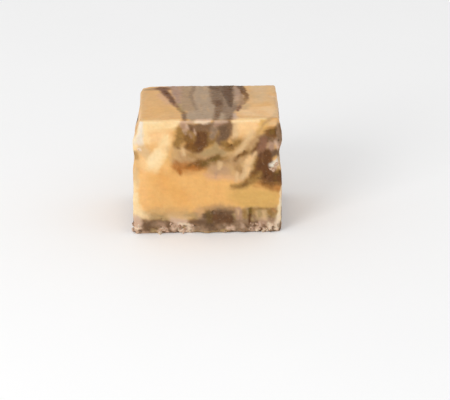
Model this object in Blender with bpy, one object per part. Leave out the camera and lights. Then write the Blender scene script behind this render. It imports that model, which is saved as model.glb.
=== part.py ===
"""A cut piece of caramel fudge, marbled with chocolate, on a base of chocolate fudge.

Two solids make it: the caramel body, and the thinner chocolate base that shows as a wavy band
round the foot. Both start as a subdivided cube and take their shape from the same outlines, so
their sides run on flush. Metres, +Z up. The piece stands on its flat underside, centred on the
origin, with its front face towards -Y.
"""

import bmesh
import bpy
import numpy as np
from mathutils import Vector

MM = 0.001

# Driving sizes, in millimetres.
HEIGHT = 24.8
EDGE_RADIUS = 0.55
LAYER_GAP = 0.3
RIM_HEIGHT = 2.6

# The flat underside is drawn in between its corners by this share, so that the piece stands on four points.
UNDERSIDE_BOW = 0.02
UNDERSIDE_FADE = 0.15

# How far each side stands out from the middle, as (height, distance) stations from the foot up.
# The left side isn't parallel to the right one, so it has an outline at the front and one at the back.
LEFT_OUTLINE = (
    (0, 15.7), (3, 15.9), (11, 15.65), (17, 15.6), (20.4, 15.5), (22.2, 14.4), (24.8, 13.8),
)
LEFT_BACK_OUTLINE = ((0, 14.6), (10, 14.5), (19, 14.2), (24.8, 14.1))
RIGHT_OUTLINE = (
    (0, 14.7), (4, 14.9), (9.5, 15.05), (13.5, 14.9), (16.2, 14.5), (19.5, 15.1), (24.8, 14.5),
)
FRONT_OUTLINE = ((0, 11.5), (10, 11.5), (19, 11.4), (24.8, 11.1))
BACK_OUTLINE = ((0, 11.7), (13, 11.7), (20, 11.5), (24.8, 11.2))

# Height of the chocolate base along the front and along the back face, as (x, height) stations.
BASE_TOP_FRONT = (
    (-15, 3.6), (-8.5, 3.7), (-5, 2.9), (-1.6, 3.9), (1.5, 5.7),
    (4.8, 5.7), (6.4, 4.7), (8.7, 5.8), (15, 5.4),
)
BASE_TOP_BACK = ((-15, 5.3), (-9, 4.4), (-3, 5.2), (3, 3.7), (8, 4.6), (15, 4.3))

# Broken spots on the arrises: (centre, radius, depth).
CHIPS = (
    ((-15.1, -11.3, 16.6), 1.5, 0.55),
    ((14.6, -11.2, 17.9), 1.7, 0.5),
    ((14.9, -11.4, 15.4), 1.1, 0.4),
    ((10.2, -11.6, 1.7), 1.0, 0.45),
    ((-4.1, -11.6, 1.2), 1.3, 0.35),
    ((4.6, 11.6, 1.3), 1.4, 0.5),
    ((15.0, 6.5, 2.2), 1.5, 0.5),
    ((-14.2, 10.8, 24.4), 1.5, 0.45),
    ((14.2, 4.2, 24.6), 1.2, 0.35),
)

# Unevenness of the faces: (cell size, height, seed) for each layer of random swell.
CUT_FACE_SWELLS = ((6.5, 0.17, 11), (2.6, 0.07, 12))
TOP_FACE_SWELLS = ((8.0, 0.16, 21), (3.2, 0.05, 22))
BASE_TOP_SWELLS = ((3.4, 0.22, 31),)
RIM_SWELLS = ((1.9, 0.3, 41), (1.15, 0.16, 42))

# A side's unevenness fades inwards by this power, and the top's begins at this share of the height.
# The left side and the front read the swells this far along, so that they differ from the far sides.
SIDE_FADE = 8
TOP_START = 0.8
NEAR_SIDE_SHIFT = 40

# Cells along x, y and z of each layer's cube. They close up towards the arrises by CLOSE_UP.
BODY_CELLS = (32, 24, 20)
BASE_CELLS = (32, 24, 6)
CLOSE_UP = 0.2

# Each solid's colour, roughness and metallic value.
CARAMEL_FINISH = ((0.80, 0.49, 0.20, 1.0), 0.45, 0.0)
CHOCOLATE_FINISH = ((0.15, 0.085, 0.048, 1.0), 0.6, 0.0)


def eased(value, stations):
    """The stations' second numbers, joined by smooth steps and read at value."""
    at, height = np.array(stations, float).T
    place = np.clip(value, at[0], at[-1])
    left = np.clip(np.searchsorted(at, place, side="right") - 1, 0, len(at) - 2)
    share = (place - at[left]) / (at[left + 1] - at[left])
    share = share * share * (3 - 2 * share)
    return height[left] * (1 - share) + height[left + 1] * share


def swell(a, b, layers):
    """Random unevenness over the plane (a, b).

    Each layer is a lattice of random heights, joined by smooth steps.
    """
    total = np.zeros_like(a)
    for cell, height, seed in layers:
        lattice = np.random.default_rng(seed).uniform(-1, 1, (64, 64))
        i, j = np.floor(a / cell).astype(int), np.floor(b / cell).astype(int)
        s, t = a / cell - i, b / cell - j
        s, t = s * s * (3 - 2 * s), t * t * (3 - 2 * t)
        near = lattice[i % 64, j % 64] * (1 - s) + lattice[(i + 1) % 64, j % 64] * s
        far = lattice[i % 64, (j + 1) % 64] * (1 - s) + lattice[(i + 1) % 64, (j + 1) % 64] * s
        total += height * (near * (1 - t) + far * t)
    return total


def base_top(x, y):
    """Height of the chocolate base at (x, y), which runs from its front line to its back line."""
    front, back = FRONT_OUTLINE[0][1], BACK_OUTLINE[0][1]
    depth = np.clip((y + front) / (front + back), 0, 1)
    line = eased(x, BASE_TOP_FRONT) * (1 - depth) + eased(x, BASE_TOP_BACK) * depth
    return line + swell(x, y, BASE_TOP_SWELLS)


def round_edges(x, y, z, half_x, half_y):
    """Draws the corners of the plain block (x, y, z) in to an arc of EDGE_RADIUS."""
    half_z = HEIGHT / 2
    point = np.stack([x, y, z - half_z], axis=1)
    inner = np.stack([half_x, half_y, np.full_like(x, half_z)], axis=1) - EDGE_RADIUS
    core = np.clip(point, -inner, inner)
    over = point - core
    reach = np.linalg.norm(over, axis=1)
    share = np.where(reach > 1e-9, np.abs(over).max(axis=1) / np.maximum(reach, 1e-9), 1.0)
    rounded = core + over * share[:, None]
    return rounded[:, 0], rounded[:, 1], rounded[:, 2] + half_z


def shape_block(u, v, z):
    """Places the points of the whole piece.

    u runs from -1 at the left side to 1 at the right, v from -1 at the front to 1 at the back, and
    z is the height. Each side follows its outline; its unevenness fades out quickly towards the
    inside, and the underside stays flat.
    """
    behind = (v + 1) / 2
    left = eased(z, LEFT_OUTLINE) * (1 - behind) + eased(z, LEFT_BACK_OUTLINE) * behind
    x_sides = np.where(u < 0, left, eased(z, RIGHT_OUTLINE))
    y_sides = np.where(v < 0, eased(z, FRONT_OUTLINE), eased(z, BACK_OUTLINE))
    x, y, z = round_edges(u * x_sides, v * y_sides, z, x_sides, y_sides)
    side_x, side_y = np.abs(u) ** SIDE_FADE, np.abs(v) ** SIDE_FADE
    top = np.clip((z / HEIGHT - TOP_START) / (1 - TOP_START), 0, 1) ** 3
    rim = np.clip(1 - z / RIM_HEIGHT, 0, 1)
    lift = np.clip(z / UNDERSIDE_FADE, 0, 1)
    x = x * (1 - (1 - lift) * UNDERSIDE_BOW * (1 - v * v))
    y = y * (1 - (1 - lift) * UNDERSIDE_BOW * (1 - u * u))
    along = np.where(u < 0, y + NEAR_SIDE_SHIFT, y)
    across = np.where(v < 0, x + NEAR_SIDE_SHIFT, x)
    out_x = swell(along, z, CUT_FACE_SWELLS) + rim * swell(along, z, RIM_SWELLS)
    out_y = swell(across, z, CUT_FACE_SWELLS) + rim * swell(across, z, RIM_SWELLS)
    outward = np.stack([side_x * np.sign(u), side_y * np.sign(v), top], axis=1) * lift[:, None]
    push = np.stack([out_x, out_y, swell(x, y, TOP_FACE_SWELLS)], axis=1)
    point = np.stack([x, y, z], axis=1) + outward * push
    outward /= np.maximum(np.linalg.norm(outward, axis=1, keepdims=True), 1)
    for centre, radius, depth in CHIPS:
        away = np.linalg.norm(point - np.array(centre), axis=1)
        point -= depth * np.exp(-((away / radius) ** 2))[:, None] * outward
    return point


def add_finish(obj, name, finish):
    """Gives the object a plain Principled material."""
    colour, roughness, metallic = finish
    material = bpy.data.materials.new(name)
    material.use_nodes = True
    shader = material.node_tree.nodes["Principled BSDF"]
    shader.inputs["Base Color"].default_value = colour
    shader.inputs["Roughness"].default_value = roughness
    shader.inputs["Metallic"].default_value = metallic
    obj.data.materials.append(material)


def gridded_cube(cells):
    """A cube from -1 to 1 with its edges cut into cells along x, y and z."""
    mesh = bmesh.new()
    bmesh.ops.create_cube(mesh, size=2)
    for axis, count in enumerate(cells):
        along = Vector([float(axis == i) for i in range(3)])
        edges = []
        for edge in mesh.edges:
            run = (edge.verts[1].co - edge.verts[0].co).normalized()
            if abs(run.dot(along)) > 0.99:
                edges.append(edge)
        bmesh.ops.subdivide_edges(mesh, edges=edges, cuts=count - 1, use_grid_fill=True)
    return mesh


def flatten_underside(mesh):
    """Joins the faces that lie on the ground into one."""
    flat = [f for f in mesh.faces if all(abs(v.co.z) < 1e-7 for v in f.verts)]
    bmesh.ops.dissolve_faces(mesh, faces=flat, use_verts=True)


def build_layer(name, cells, bottom, top, finish, collection):
    """One layer of the piece.

    bottom and top are functions of (x, y) that give the layer's lower and upper height in millimetres.
    """
    grid = gridded_cube(cells)
    unit = np.array([v.co for v in grid.verts])
    u, v = ((1 + CLOSE_UP) * unit[:, i] - CLOSE_UP * unit[:, i] ** 3 for i in (0, 1))
    plan_x, plan_y = u * LEFT_OUTLINE[0][1], v * FRONT_OUTLINE[0][1]
    share = (unit[:, 2] + 1) / 2
    z = bottom(plan_x, plan_y) * (1 - share) + top(plan_x, plan_y) * share
    for vertex, place in zip(grid.verts, shape_block(u, v, z) * MM):
        vertex.co = place
    flatten_underside(grid)
    data = bpy.data.meshes.new(name)
    grid.to_mesh(data)
    grid.free()
    obj = bpy.data.objects.new(name, data)
    collection.objects.link(obj)
    data.shade_smooth()
    add_finish(obj, name, finish)
    return obj


def centre_on_origin(objects):
    """Moves the layers together so that their footprint's middle is over the origin."""
    corners = np.array([v.co for obj in objects for v in obj.data.vertices])
    middle = (corners.min(axis=0) + corners.max(axis=0)) / 2
    for obj in objects:
        obj.location = (-middle[0], -middle[1], 0)


def main():
    for old in list(bpy.data.objects):
        bpy.data.objects.remove(old)
    fudge = bpy.data.collections.new("fudge")
    bpy.context.scene.collection.children.link(fudge)

    def ground(x, y):
        return np.zeros_like(x)

    def base_upper(x, y):
        return base_top(x, y) - LAYER_GAP / 2

    def body_lower(x, y):
        return base_top(x, y) + LAYER_GAP / 2

    def crown(x, y):
        return np.full_like(x, HEIGHT)

    base = build_layer("chocolate_base", BASE_CELLS, ground, base_upper, CHOCOLATE_FINISH, fudge)
    body = build_layer("caramel_body", BODY_CELLS, body_lower, crown, CARAMEL_FINISH, fudge)
    centre_on_origin([base, body])


main()
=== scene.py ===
"""A cut piece of caramel fudge, marbled with chocolate, on a chocolate fudge base, in a plain pale studio.

Sizes are millimetres until a mesh is made. The piece stands on z = 0, centred on the origin, and its front
faces -Y.
"""

from __future__ import annotations

import itertools
import logging
from dataclasses import dataclass, replace
from enum import Enum
from math import cos, radians, sin

import bpy
import numpy as np
from mathutils import Matrix
from numpy.typing import NDArray

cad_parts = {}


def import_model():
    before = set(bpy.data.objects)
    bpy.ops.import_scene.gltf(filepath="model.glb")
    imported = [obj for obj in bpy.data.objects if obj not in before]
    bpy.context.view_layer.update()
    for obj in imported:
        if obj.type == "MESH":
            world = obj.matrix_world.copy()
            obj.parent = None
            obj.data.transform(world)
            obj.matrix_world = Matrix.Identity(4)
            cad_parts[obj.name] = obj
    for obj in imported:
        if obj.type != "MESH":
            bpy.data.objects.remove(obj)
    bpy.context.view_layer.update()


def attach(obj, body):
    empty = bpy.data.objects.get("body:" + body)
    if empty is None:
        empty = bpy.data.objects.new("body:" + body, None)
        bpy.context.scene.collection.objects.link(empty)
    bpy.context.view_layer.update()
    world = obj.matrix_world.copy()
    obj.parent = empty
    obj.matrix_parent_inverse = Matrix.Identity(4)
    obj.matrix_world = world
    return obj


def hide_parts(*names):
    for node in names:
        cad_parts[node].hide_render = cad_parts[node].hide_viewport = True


Array = NDArray[np.float64]
Faces = NDArray[np.int64]
Span = tuple[float, float]
Triple = tuple[float, float, float]
Stations = tuple[Span, ...]
Swells = tuple[tuple[float, float, int], ...]
Noises = tuple[tuple[float | Triple, float, int], ...]

MM = 0.001
# How bright white comes out in the studio, what the surface's shine adds, and the darkest colour of its own.
STUDIO_LIGHT = 1.15
SURFACE_SHEEN = 0.022
DARKEST = 0.004
# Number of cells after which the noises repeat.
SWELL_PERIOD = 64
CRUMBLE_PERIOD = 32
# Brings the gradient noise to about -1 to 1.
CRUMBLE_GAIN = 1.7
# A smear's wisps are this long and broad, in millimetres, plus this share of its fade.
WISP_LENGTH, WISP_LENGTH_PER_FADE = 1.6, 1.2
WISP_BREADTH, WISP_BREADTH_PER_FADE = 0.35, 0.45
# Cell sizes and weights of the wisps' two layers, as shares of a wisp.
WISP_LAYERS = ((1.0, 0.65), (0.45, 0.35))
# A smear's cover falls off between these shares of its fade outside its width.
FALL_START, FALL_END = -0.6, 0.7
# The place where a smear's path starts picks its wisps, by these factors along and up.
SEED_ALONG, SEED_UP = 97, 13
# Half the piece's nominal width and depth, along which the painted band is measured.
HALF_WIDTH, HALF_DEPTH = 15.0, 11.4
# Height about which copied smears are squashed.
SQUASH_HEIGHT = 11
log = logging.getLogger("fudge")


def smooth(share: Array) -> Array:
    """The share t, from 0 to 1, eased at both ends: t squared times (3 - 2t)."""
    return share * share * (3 - 2 * share)


def rise(value: Array, low: float | Array, high: float | Array) -> Array:
    """A smooth step: 0 up to low, 1 from high on."""
    return smooth(np.clip((value - low) / (high - low), 0, 1))


def eased(value: Array, stations: Stations) -> Array:
    """Reads a line through (place, height) stations, joined by smooth steps.

    Args:
        value: the places to read at.
        stations: the line's points, in order of place.

    Returns:
        The line's height at each place.
    """
    at, height = np.array(stations, float).T
    place = np.clip(value, at[0], at[-1])
    left = np.clip(np.searchsorted(at, place, side="right") - 1, 0, len(at) - 2)
    share = smooth((place - at[left]) / (at[left + 1] - at[left]))
    return height[left] * (1 - share) + height[left + 1] * share


def swell(a: Array, b: Array, layers: Swells) -> Array:
    """Random unevenness over the plane (a, b): each layer is a lattice of heights, joined by smooth steps.

    Args:
        a: first coordinate of each point.
        b: second coordinate of each point.
        layers: (cell size, height, seed) of each layer.

    Returns:
        The sum of the layers at each point.
    """
    total = np.zeros_like(a)
    for cell, height, seed in layers:
        lattice = np.random.default_rng(seed).uniform(-1, 1, (SWELL_PERIOD, SWELL_PERIOD))
        i, j = np.floor(a / cell).astype(int), np.floor(b / cell).astype(int)
        s, t = smooth(a / cell - i), smooth(b / cell - j)
        left, right = i % SWELL_PERIOD, (i + 1) % SWELL_PERIOD
        low, high = j % SWELL_PERIOD, (j + 1) % SWELL_PERIOD
        near = lattice[left, low] * (1 - s) + lattice[right, low] * s
        far = lattice[left, high] * (1 - s) + lattice[right, high] * s
        total += height * (near * (1 - t) + far * t)
    return total


def crumble(points: Array, cell: float | Triple, seed: int) -> Array:
    """Gradient noise in space: random slopes at the corners of a lattice, blended by a fifth-power ease.

    Args:
        points: one (x, y, z) row for each point.
        cell: the lattice's spacing, one number or one for each axis.
        seed: picks the slopes.

    Returns:
        A value from about -1 to 1 for each point.
    """
    slopes = np.random.default_rng(seed).normal(size=(*[CRUMBLE_PERIOD] * 3, 3))
    slopes /= np.linalg.norm(slopes, axis=3, keepdims=True)
    place = points / np.array(cell)
    corner = np.floor(place).astype(int)
    part = place - corner
    fade = part**3 * (part * (part * 6 - 15) + 10)
    total = np.zeros(len(points))
    for step in itertools.product((0, 1), repeat=3):
        i, j, k = ((corner + step) % CRUMBLE_PERIOD).T
        weight = np.prod(np.where(step, fade, 1 - fade), axis=1)
        total += weight * np.einsum("ij,ij->i", slopes[i, j, k], part - step)
    return total * CRUMBLE_GAIN


def noise_sum(points: Array, layers: Noises) -> Array:
    """The sum of several gradient noises: each layer is its cell size, its weight and its seed."""
    return sum(weight * crumble(points, cell, seed) for cell, weight, seed in layers)


class Tone(Enum):
    """The fudge's colours by name, as screen red, green and blue from 0 to 255 under the studio's light."""

    CARAMEL = (238, 182, 112)
    HONEY = (235, 174, 101)
    PEACH = (246, 190, 124)
    AMBER = (220, 174, 102)
    BUTTER = (253, 218, 163)
    CREAM = (255, 226, 176)
    BLUSH = (250, 203, 146)
    FAWN = (226, 188, 140)
    SALMON = (226, 174, 128)
    TAN = (206, 166, 114)
    LATTE = (190, 150, 104)
    TAUPE = (180, 150, 104)
    MIST = (182, 154, 124)
    ROSE = (182, 145, 120)
    TOFFEE = (174, 110, 52)
    UMBER = (126, 86, 44)
    OLIVE = (156, 118, 66)
    MOSS = (116, 90, 40)
    PLUM = (140, 100, 76)
    COCOA = (132, 100, 72)
    BITTER = (108, 72, 42)
    SMOKE = (114, 88, 66)
    HAZEL = (152, 124, 98)
    SUGAR = (240, 215, 186)
    ROSY_SUGAR = (216, 182, 156)
    CHALK = (240, 228, 208)

    @property
    def linear(self) -> Array:
        """The tone's own colour: out of the screen's gamma, less the sheen, divided by the studio's light."""
        screen = np.array(self.value, float) / 255
        light = np.where(screen <= 0.04045, screen / 12.92, ((screen + 0.055) / 1.055) ** 2.4)
        return np.maximum(light - SURFACE_SHEEN, DARKEST) / STUDIO_LIGHT


@dataclass(frozen=True)
class Smear:
    """One smear of fudge drawn on a face: a path of (along, up) points, with a width at both ends.

    Wisps run along it: noise stretched along the path frays its sides, and thins it so that what is beneath
    shows through.
    """

    tone: Tone
    path: Stations
    width: Span
    fade: float = 0.6
    strength: float = 1.0
    fray: float = 0.26
    thin: float = 0.28

    def cover(self, along: Array, up: Array, lap: float | None = None) -> Array:
        """How much the smear covers each point: fully near its path, easing to nothing over the fade.

        Args:
            along: first coordinate of each point on the face.
            up: second coordinate of each point.
            lap: length after which the first coordinate starts again, on faces that wrap round.

        Returns:
            The cover, from 0 to the smear's strength.
        """
        nodes = np.array(self.path, float)
        if lap is not None:
            middle = nodes[:, 0].mean()
            along = middle + (along - middle + lap / 2) % lap - lap / 2
        reach = max(self.width) / 2 + self.fade + 2 * self.fray
        low, high = nodes.min(axis=0) - reach, nodes.max(axis=0) + reach
        near = (along > low[0]) & (along < high[0]) & (up > low[1]) & (up < high[1])
        gap, run, side = self.measure(along[near], up[near], nodes)
        long = WISP_LENGTH + WISP_LENGTH_PER_FADE * self.fade
        short = WISP_BREADTH + WISP_BREADTH_PER_FADE * self.fade
        seed = int(SEED_ALONG * abs(nodes[0, 0]) + SEED_UP * abs(nodes[0, 1]))
        layers = tuple((cell, weight, seed + step) for step, (cell, weight) in enumerate(WISP_LAYERS))
        wisp = swell(run / long, side / short, layers)
        gap = gap + wisp * self.fray * (0.5 + self.fade)
        found = np.zeros(along.shape)
        found[near] = self.strength * (1 - rise(gap, FALL_START * self.fade, FALL_END * self.fade))
        found[near] *= 1 - self.thin * np.clip(wisp, 0, 1)
        return found

    def measure(self, along: Array, up: Array, nodes: Array) -> tuple[Array, Array, Array]:
        """Distances from the nearest stretch of the path.

        Args:
            along: first coordinate of each point.
            up: second coordinate of each point.
            nodes: the path's points.

        Returns:
            How far outside the smear each point lies, how far on along the path, and how far to its side.
        """
        half = np.linspace(self.width[0], self.width[1], len(nodes)) / 2
        gap, run, side = np.full(along.shape, 1e9), np.zeros(along.shape), np.zeros(along.shape)
        begun = 0.0
        for start, end, wide, narrow in zip(nodes[:-1], nodes[1:], half[:-1], half[1:]):
            step = end - start
            length = max(float(np.hypot(*step)), 1e-3)
            share = np.clip(((along - start[0]) * step[0] + (up - start[1]) * step[1]) / length**2, 0, 1)
            off_x, off_y = along - start[0] - share * step[0], up - start[1] - share * step[1]
            away = np.hypot(off_x, off_y) - wide - (narrow - wide) * share
            nearer = away < gap
            gap = np.where(nearer, away, gap)
            run = np.where(nearer, begun + share * length, run)
            side = np.where(nearer, (off_x * step[1] - off_y * step[0]) / length, side)
            begun += length
        return gap, run, side


def moved(smears: tuple[Smear, ...], stretch: float, shift: float, squash: float) -> tuple[Smear, ...]:
    """Copies of smears further along the band.

    Args:
        smears: the smears to copy.
        stretch: factor along the band, negative to turn them round.
        shift: where the front's middle goes.
        squash: factor of the heights, about the squash height.

    Returns:
        The copies.
    """
    def place(along: float, up: float) -> tuple[float, float]:
        """Where a point of a path goes."""
        return shift + stretch * along, SQUASH_HEIGHT + squash * (up - SQUASH_HEIGHT)

    return tuple(replace(smear, path=tuple(place(*point) for point in smear.path)) for smear in smears)


@dataclass(frozen=True)
class Chip:
    """A broken spot on an arris: its centre, radius and depth."""

    centre: Triple
    radius: float
    depth: float


@dataclass(frozen=True)
class CutBlock:
    """The outer form that the caramel and the chocolate base share.

    Each side stands out from the middle by its outline of (height, distance) stations.
    """

    height: float = 24.8
    edge_radius: float = 0.55
    rim_height: float = 2.6
    underside_bow: float = 0.02
    underside_fade: float = 0.15
    side_fade: int = 8
    top_start: float = 0.8
    near_side_shift: float = 40
    left: Stations = ((0, 15.7), (3, 15.9), (11, 15.65), (17, 15.6), (20.4, 15.5), (22.2, 14.4), (24.8, 13.8))
    left_back: Stations = ((0, 14.6), (10, 14.5), (19, 14.2), (24.8, 14.1))
    right: Stations = (
        (0, 14.7), (4, 14.9), (9.5, 15.05), (13.5, 14.9), (16.2, 14.5), (19.5, 15.1), (24.8, 14.5),
    )
    front: Stations = ((0, 11.5), (10, 11.5), (19, 11.4), (24.8, 11.1))
    back: Stations = ((0, 11.7), (13, 11.7), (20, 11.5), (24.8, 11.2))
    cut_swells: Swells = ((6.5, 0.17, 11), (2.6, 0.07, 12))
    top_swells: Swells = ((8.0, 0.16, 21), (3.2, 0.05, 22))
    rim_swells: Swells = ((1.9, 0.3, 41), (1.15, 0.16, 42))
    chips: tuple[Chip, ...] = (
        Chip((-15.1, -11.3, 16.6), 1.5, 0.55),
        Chip((14.6, -11.2, 17.9), 1.7, 0.5),
        Chip((14.9, -11.4, 15.4), 1.1, 0.4),
        Chip((10.2, -11.6, 1.7), 1.0, 0.45),
        Chip((-4.1, -11.6, 1.2), 1.3, 0.35),
        Chip((4.6, 11.6, 1.3), 1.4, 0.5),
        Chip((15.0, 6.5, 2.2), 1.5, 0.5),
        Chip((-14.2, 10.8, 24.4), 1.5, 0.45),
        Chip((14.2, 4.2, 24.6), 1.2, 0.35),
    )

    def place(self, u: Array, v: Array, z: Array) -> tuple[Array, Array]:
        """Places points of the block, and says which way is out.

        A plain block with its corners drawn in to an arc is pushed out at each side by that face's
        unevenness. The push is weighed by a high power of u or v, so it fades out quickly towards the inside.

        Args:
            u: -1 at the left side to 1 at the right.
            v: -1 at the front to 1 at the back.
            z: height in millimetres.

        Returns:
            The points, and at each the outward direction, shorter than 1 inside.
        """
        behind = (v + 1) / 2
        left = eased(z, self.left) * (1 - behind) + eased(z, self.left_back) * behind
        x_sides = np.where(u < 0, left, eased(z, self.right))
        y_sides = np.where(v < 0, eased(z, self.front), eased(z, self.back))
        x, y, z = self.round_edges(u * x_sides, v * y_sides, z, x_sides, y_sides)
        side_x, side_y = np.abs(u) ** self.side_fade, np.abs(v) ** self.side_fade
        top = np.clip((z / self.height - self.top_start) / (1 - self.top_start), 0, 1) ** 3
        rim = np.clip(1 - z / self.rim_height, 0, 1)
        lift = np.clip(z / self.underside_fade, 0, 1)
        x = x * (1 - (1 - lift) * self.underside_bow * (1 - v * v))
        y = y * (1 - (1 - lift) * self.underside_bow * (1 - u * u))
        along = np.where(u < 0, y + self.near_side_shift, y)
        across = np.where(v < 0, x + self.near_side_shift, x)
        out_x = swell(along, z, self.cut_swells) + rim * swell(along, z, self.rim_swells)
        out_y = swell(across, z, self.cut_swells) + rim * swell(across, z, self.rim_swells)
        outward = np.stack([side_x * np.sign(u), side_y * np.sign(v), top], axis=1) * lift[:, None]
        push = np.stack([out_x, out_y, swell(x, y, self.top_swells)], axis=1)
        points = np.stack([x, y, z], axis=1) + outward * push
        outward /= np.maximum(np.linalg.norm(outward, axis=1, keepdims=True), 1)
        for chip in self.chips:
            away = np.linalg.norm(points - np.array(chip.centre), axis=1)
            points -= chip.depth * np.exp(-((away / chip.radius) ** 2))[:, None] * outward
        return points, outward

    def round_edges(
        self, x: Array, y: Array, z: Array, half_x: Array, half_y: Array
    ) -> tuple[Array, Array, Array]:
        """Draws the corners of the plain block in to an arc: what leaves the core is cut to one radius."""
        half_z = self.height / 2
        point = np.stack([x, y, z - half_z], axis=1)
        inner = np.stack([half_x, half_y, np.full_like(x, half_z)], axis=1) - self.edge_radius
        core = np.clip(point, -inner, inner)
        over = point - core
        reach = np.linalg.norm(over, axis=1)
        share = np.where(reach > 1e-9, np.abs(over).max(axis=1) / np.maximum(reach, 1e-9), 1.0)
        rounded = core + over * share[:, None]
        return rounded[:, 0], rounded[:, 1], rounded[:, 2] + half_z


@dataclass(frozen=True)
class LayerLine:
    """The height at which the chocolate base ends and the caramel begins, along the front and the back."""

    front: Stations = (
        (-15, 3.6), (-8.5, 3.7), (-5, 2.9), (-1.6, 3.9), (1.5, 5.7),
        (4.8, 5.7), (6.4, 4.7), (8.7, 5.8), (15, 5.4),
    )
    back: Stations = ((-15, 5.3), (-9, 4.4), (-3, 5.2), (3, 3.7), (8, 4.6), (15, 4.3))
    front_depth: float = 11.45
    back_depth: float = 11.6
    swells: Swells = ((3.4, 0.22, 31),)

    def height(self, x: Array, y: Array) -> Array:
        """The line's height under each point: front line to back line in equal steps, plus a small swell."""
        depth = np.clip((y + self.front_depth) / (self.front_depth + self.back_depth), 0, 1)
        return eased(x, self.front) * (1 - depth) + eased(x, self.back) * depth + swell(x, y, self.swells)


@dataclass(frozen=True)
class SurfaceGrain:
    """The fine relief on the block: worn arrises, knife drags, a crumbly foot and small pits."""

    wear: float = 0.2
    wear_reach: float = 0.9
    wear_noise: Noises = ((1.5, 1, 51), (0.7, 0.5, 52))
    wear_bias: float = 0.1
    wear_limit: float = 1.4
    top_wear: float = 0.35
    drag_noise: Noises = (((0.55, 0.55, 7), 0.03, 57),)
    grain: float = 0.05
    grain_noise: Noises = ((0.9, 1, 55), (0.45, 0.6, 56))
    caramel_grain: float = 0.3
    pit_depth: float = 0.3
    pit_noise: Noises = ((0.85, 1, 58),)
    pit_range: Span = (0.52, 0.8)
    caramel_pits: float = 0.1
    foot_crumble: float = 0.34
    foot_height: float = 2.6
    lump_noise: Noises = (((1.15, 1.15, 0.85), 1, 53), (0.5, 0.55, 54))
    even_lumps: float = 0.45
    crumbly_noise: Noises = (((3, 3, 2), 1, 71),)
    crumbly_range: Span = (-0.3, 0.3)
    front_range: Span = (0.85, 0.98)
    front_crumbs: Stations = (
        (-15.8, 1), (-14.3, 1), (-13.5, 0.1), (-11, 0.1), (-10.3, 0.7), (-8.7, 0.7), (-8.1, 0.1),
        (-7.4, 0.5), (-6.3, 1), (-3.7, 1), (-3, 0.2), (2.2, 0.1), (3.4, 0.6), (4.9, 0.6), (5.6, 0.1),
        (7.6, 0.2), (8.7, 1), (14.8, 1),
    )

    def lumps(self, points: Array, v: Array) -> Array:
        """The foot's crumbly relief, about -1 to 1: noise of two sizes, less where the foot is smooth."""
        share = self.even_lumps + (1 - self.even_lumps) * self.crumbly(points, v)
        return noise_sum(points, self.lump_noise) * share

    def crumbly(self, points: Array, v: Array) -> Array:
        """How crumbly the foot is, 0 to 1: by stations along the front, by coarse noise elsewhere."""
        at_front = rise(-v, *self.front_range)
        elsewhere = rise(noise_sum(points, self.crumbly_noise), *self.crumbly_range)
        return eased(points[:, 0], self.front_crumbs) * at_front + elsewhere * (1 - at_front)

    def apply(
        self, points: Array, outward: Array, u: Array, v: Array, block: CutBlock, cocoa: Array
    ) -> Array:
        """Pushes the points in or out along their outward direction.

        The push is a sum of space noises: wear grows with nearness to two faces at once, crumble with
        nearness to the foot, grain and pits with how much chocolate there is.

        Args:
            points: the block's points.
            outward: their outward directions.
            u: -1 at the left side to 1 at the right.
            v: -1 at the front to 1 at the back.
            block: the form that the points lie on.
            cocoa: share of chocolate at each point, 0 to 1.

        Returns:
            The moved points, none below the ground.
        """
        z = points[:, 2]
        near_x = rise(np.abs(u), 1 - self.wear_reach / HALF_WIDTH, 1)
        near_y = rise(np.abs(v), 1 - self.wear_reach / HALF_DEPTH, 1)
        near_top = self.top_wear * rise(z, block.height - self.wear_reach, block.height)
        arris = np.maximum(near_x * near_y, near_top * np.maximum(near_x, near_y))
        worn = np.clip(noise_sum(points, self.wear_noise) + self.wear_bias, 0, self.wear_limit)
        foot = rise(self.foot_height - z, 0, self.foot_height)
        grain = self.grain * (self.caramel_grain + cocoa) * noise_sum(points, self.grain_noise)
        drag = noise_sum(points, self.drag_noise)
        pitted = self.caramel_pits + (1 - self.caramel_pits) * np.maximum(cocoa, foot)
        pits = pitted * rise(noise_sum(points, self.pit_noise), *self.pit_range)
        crumbs = self.foot_crumble * foot * self.lumps(points, v)
        push = grain + drag + crumbs - self.wear * arris * worn - self.pit_depth * pits
        pushed = points + outward * push[:, None]
        pushed[:, 2] = np.maximum(pushed[:, 2], 0)
        return pushed


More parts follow.
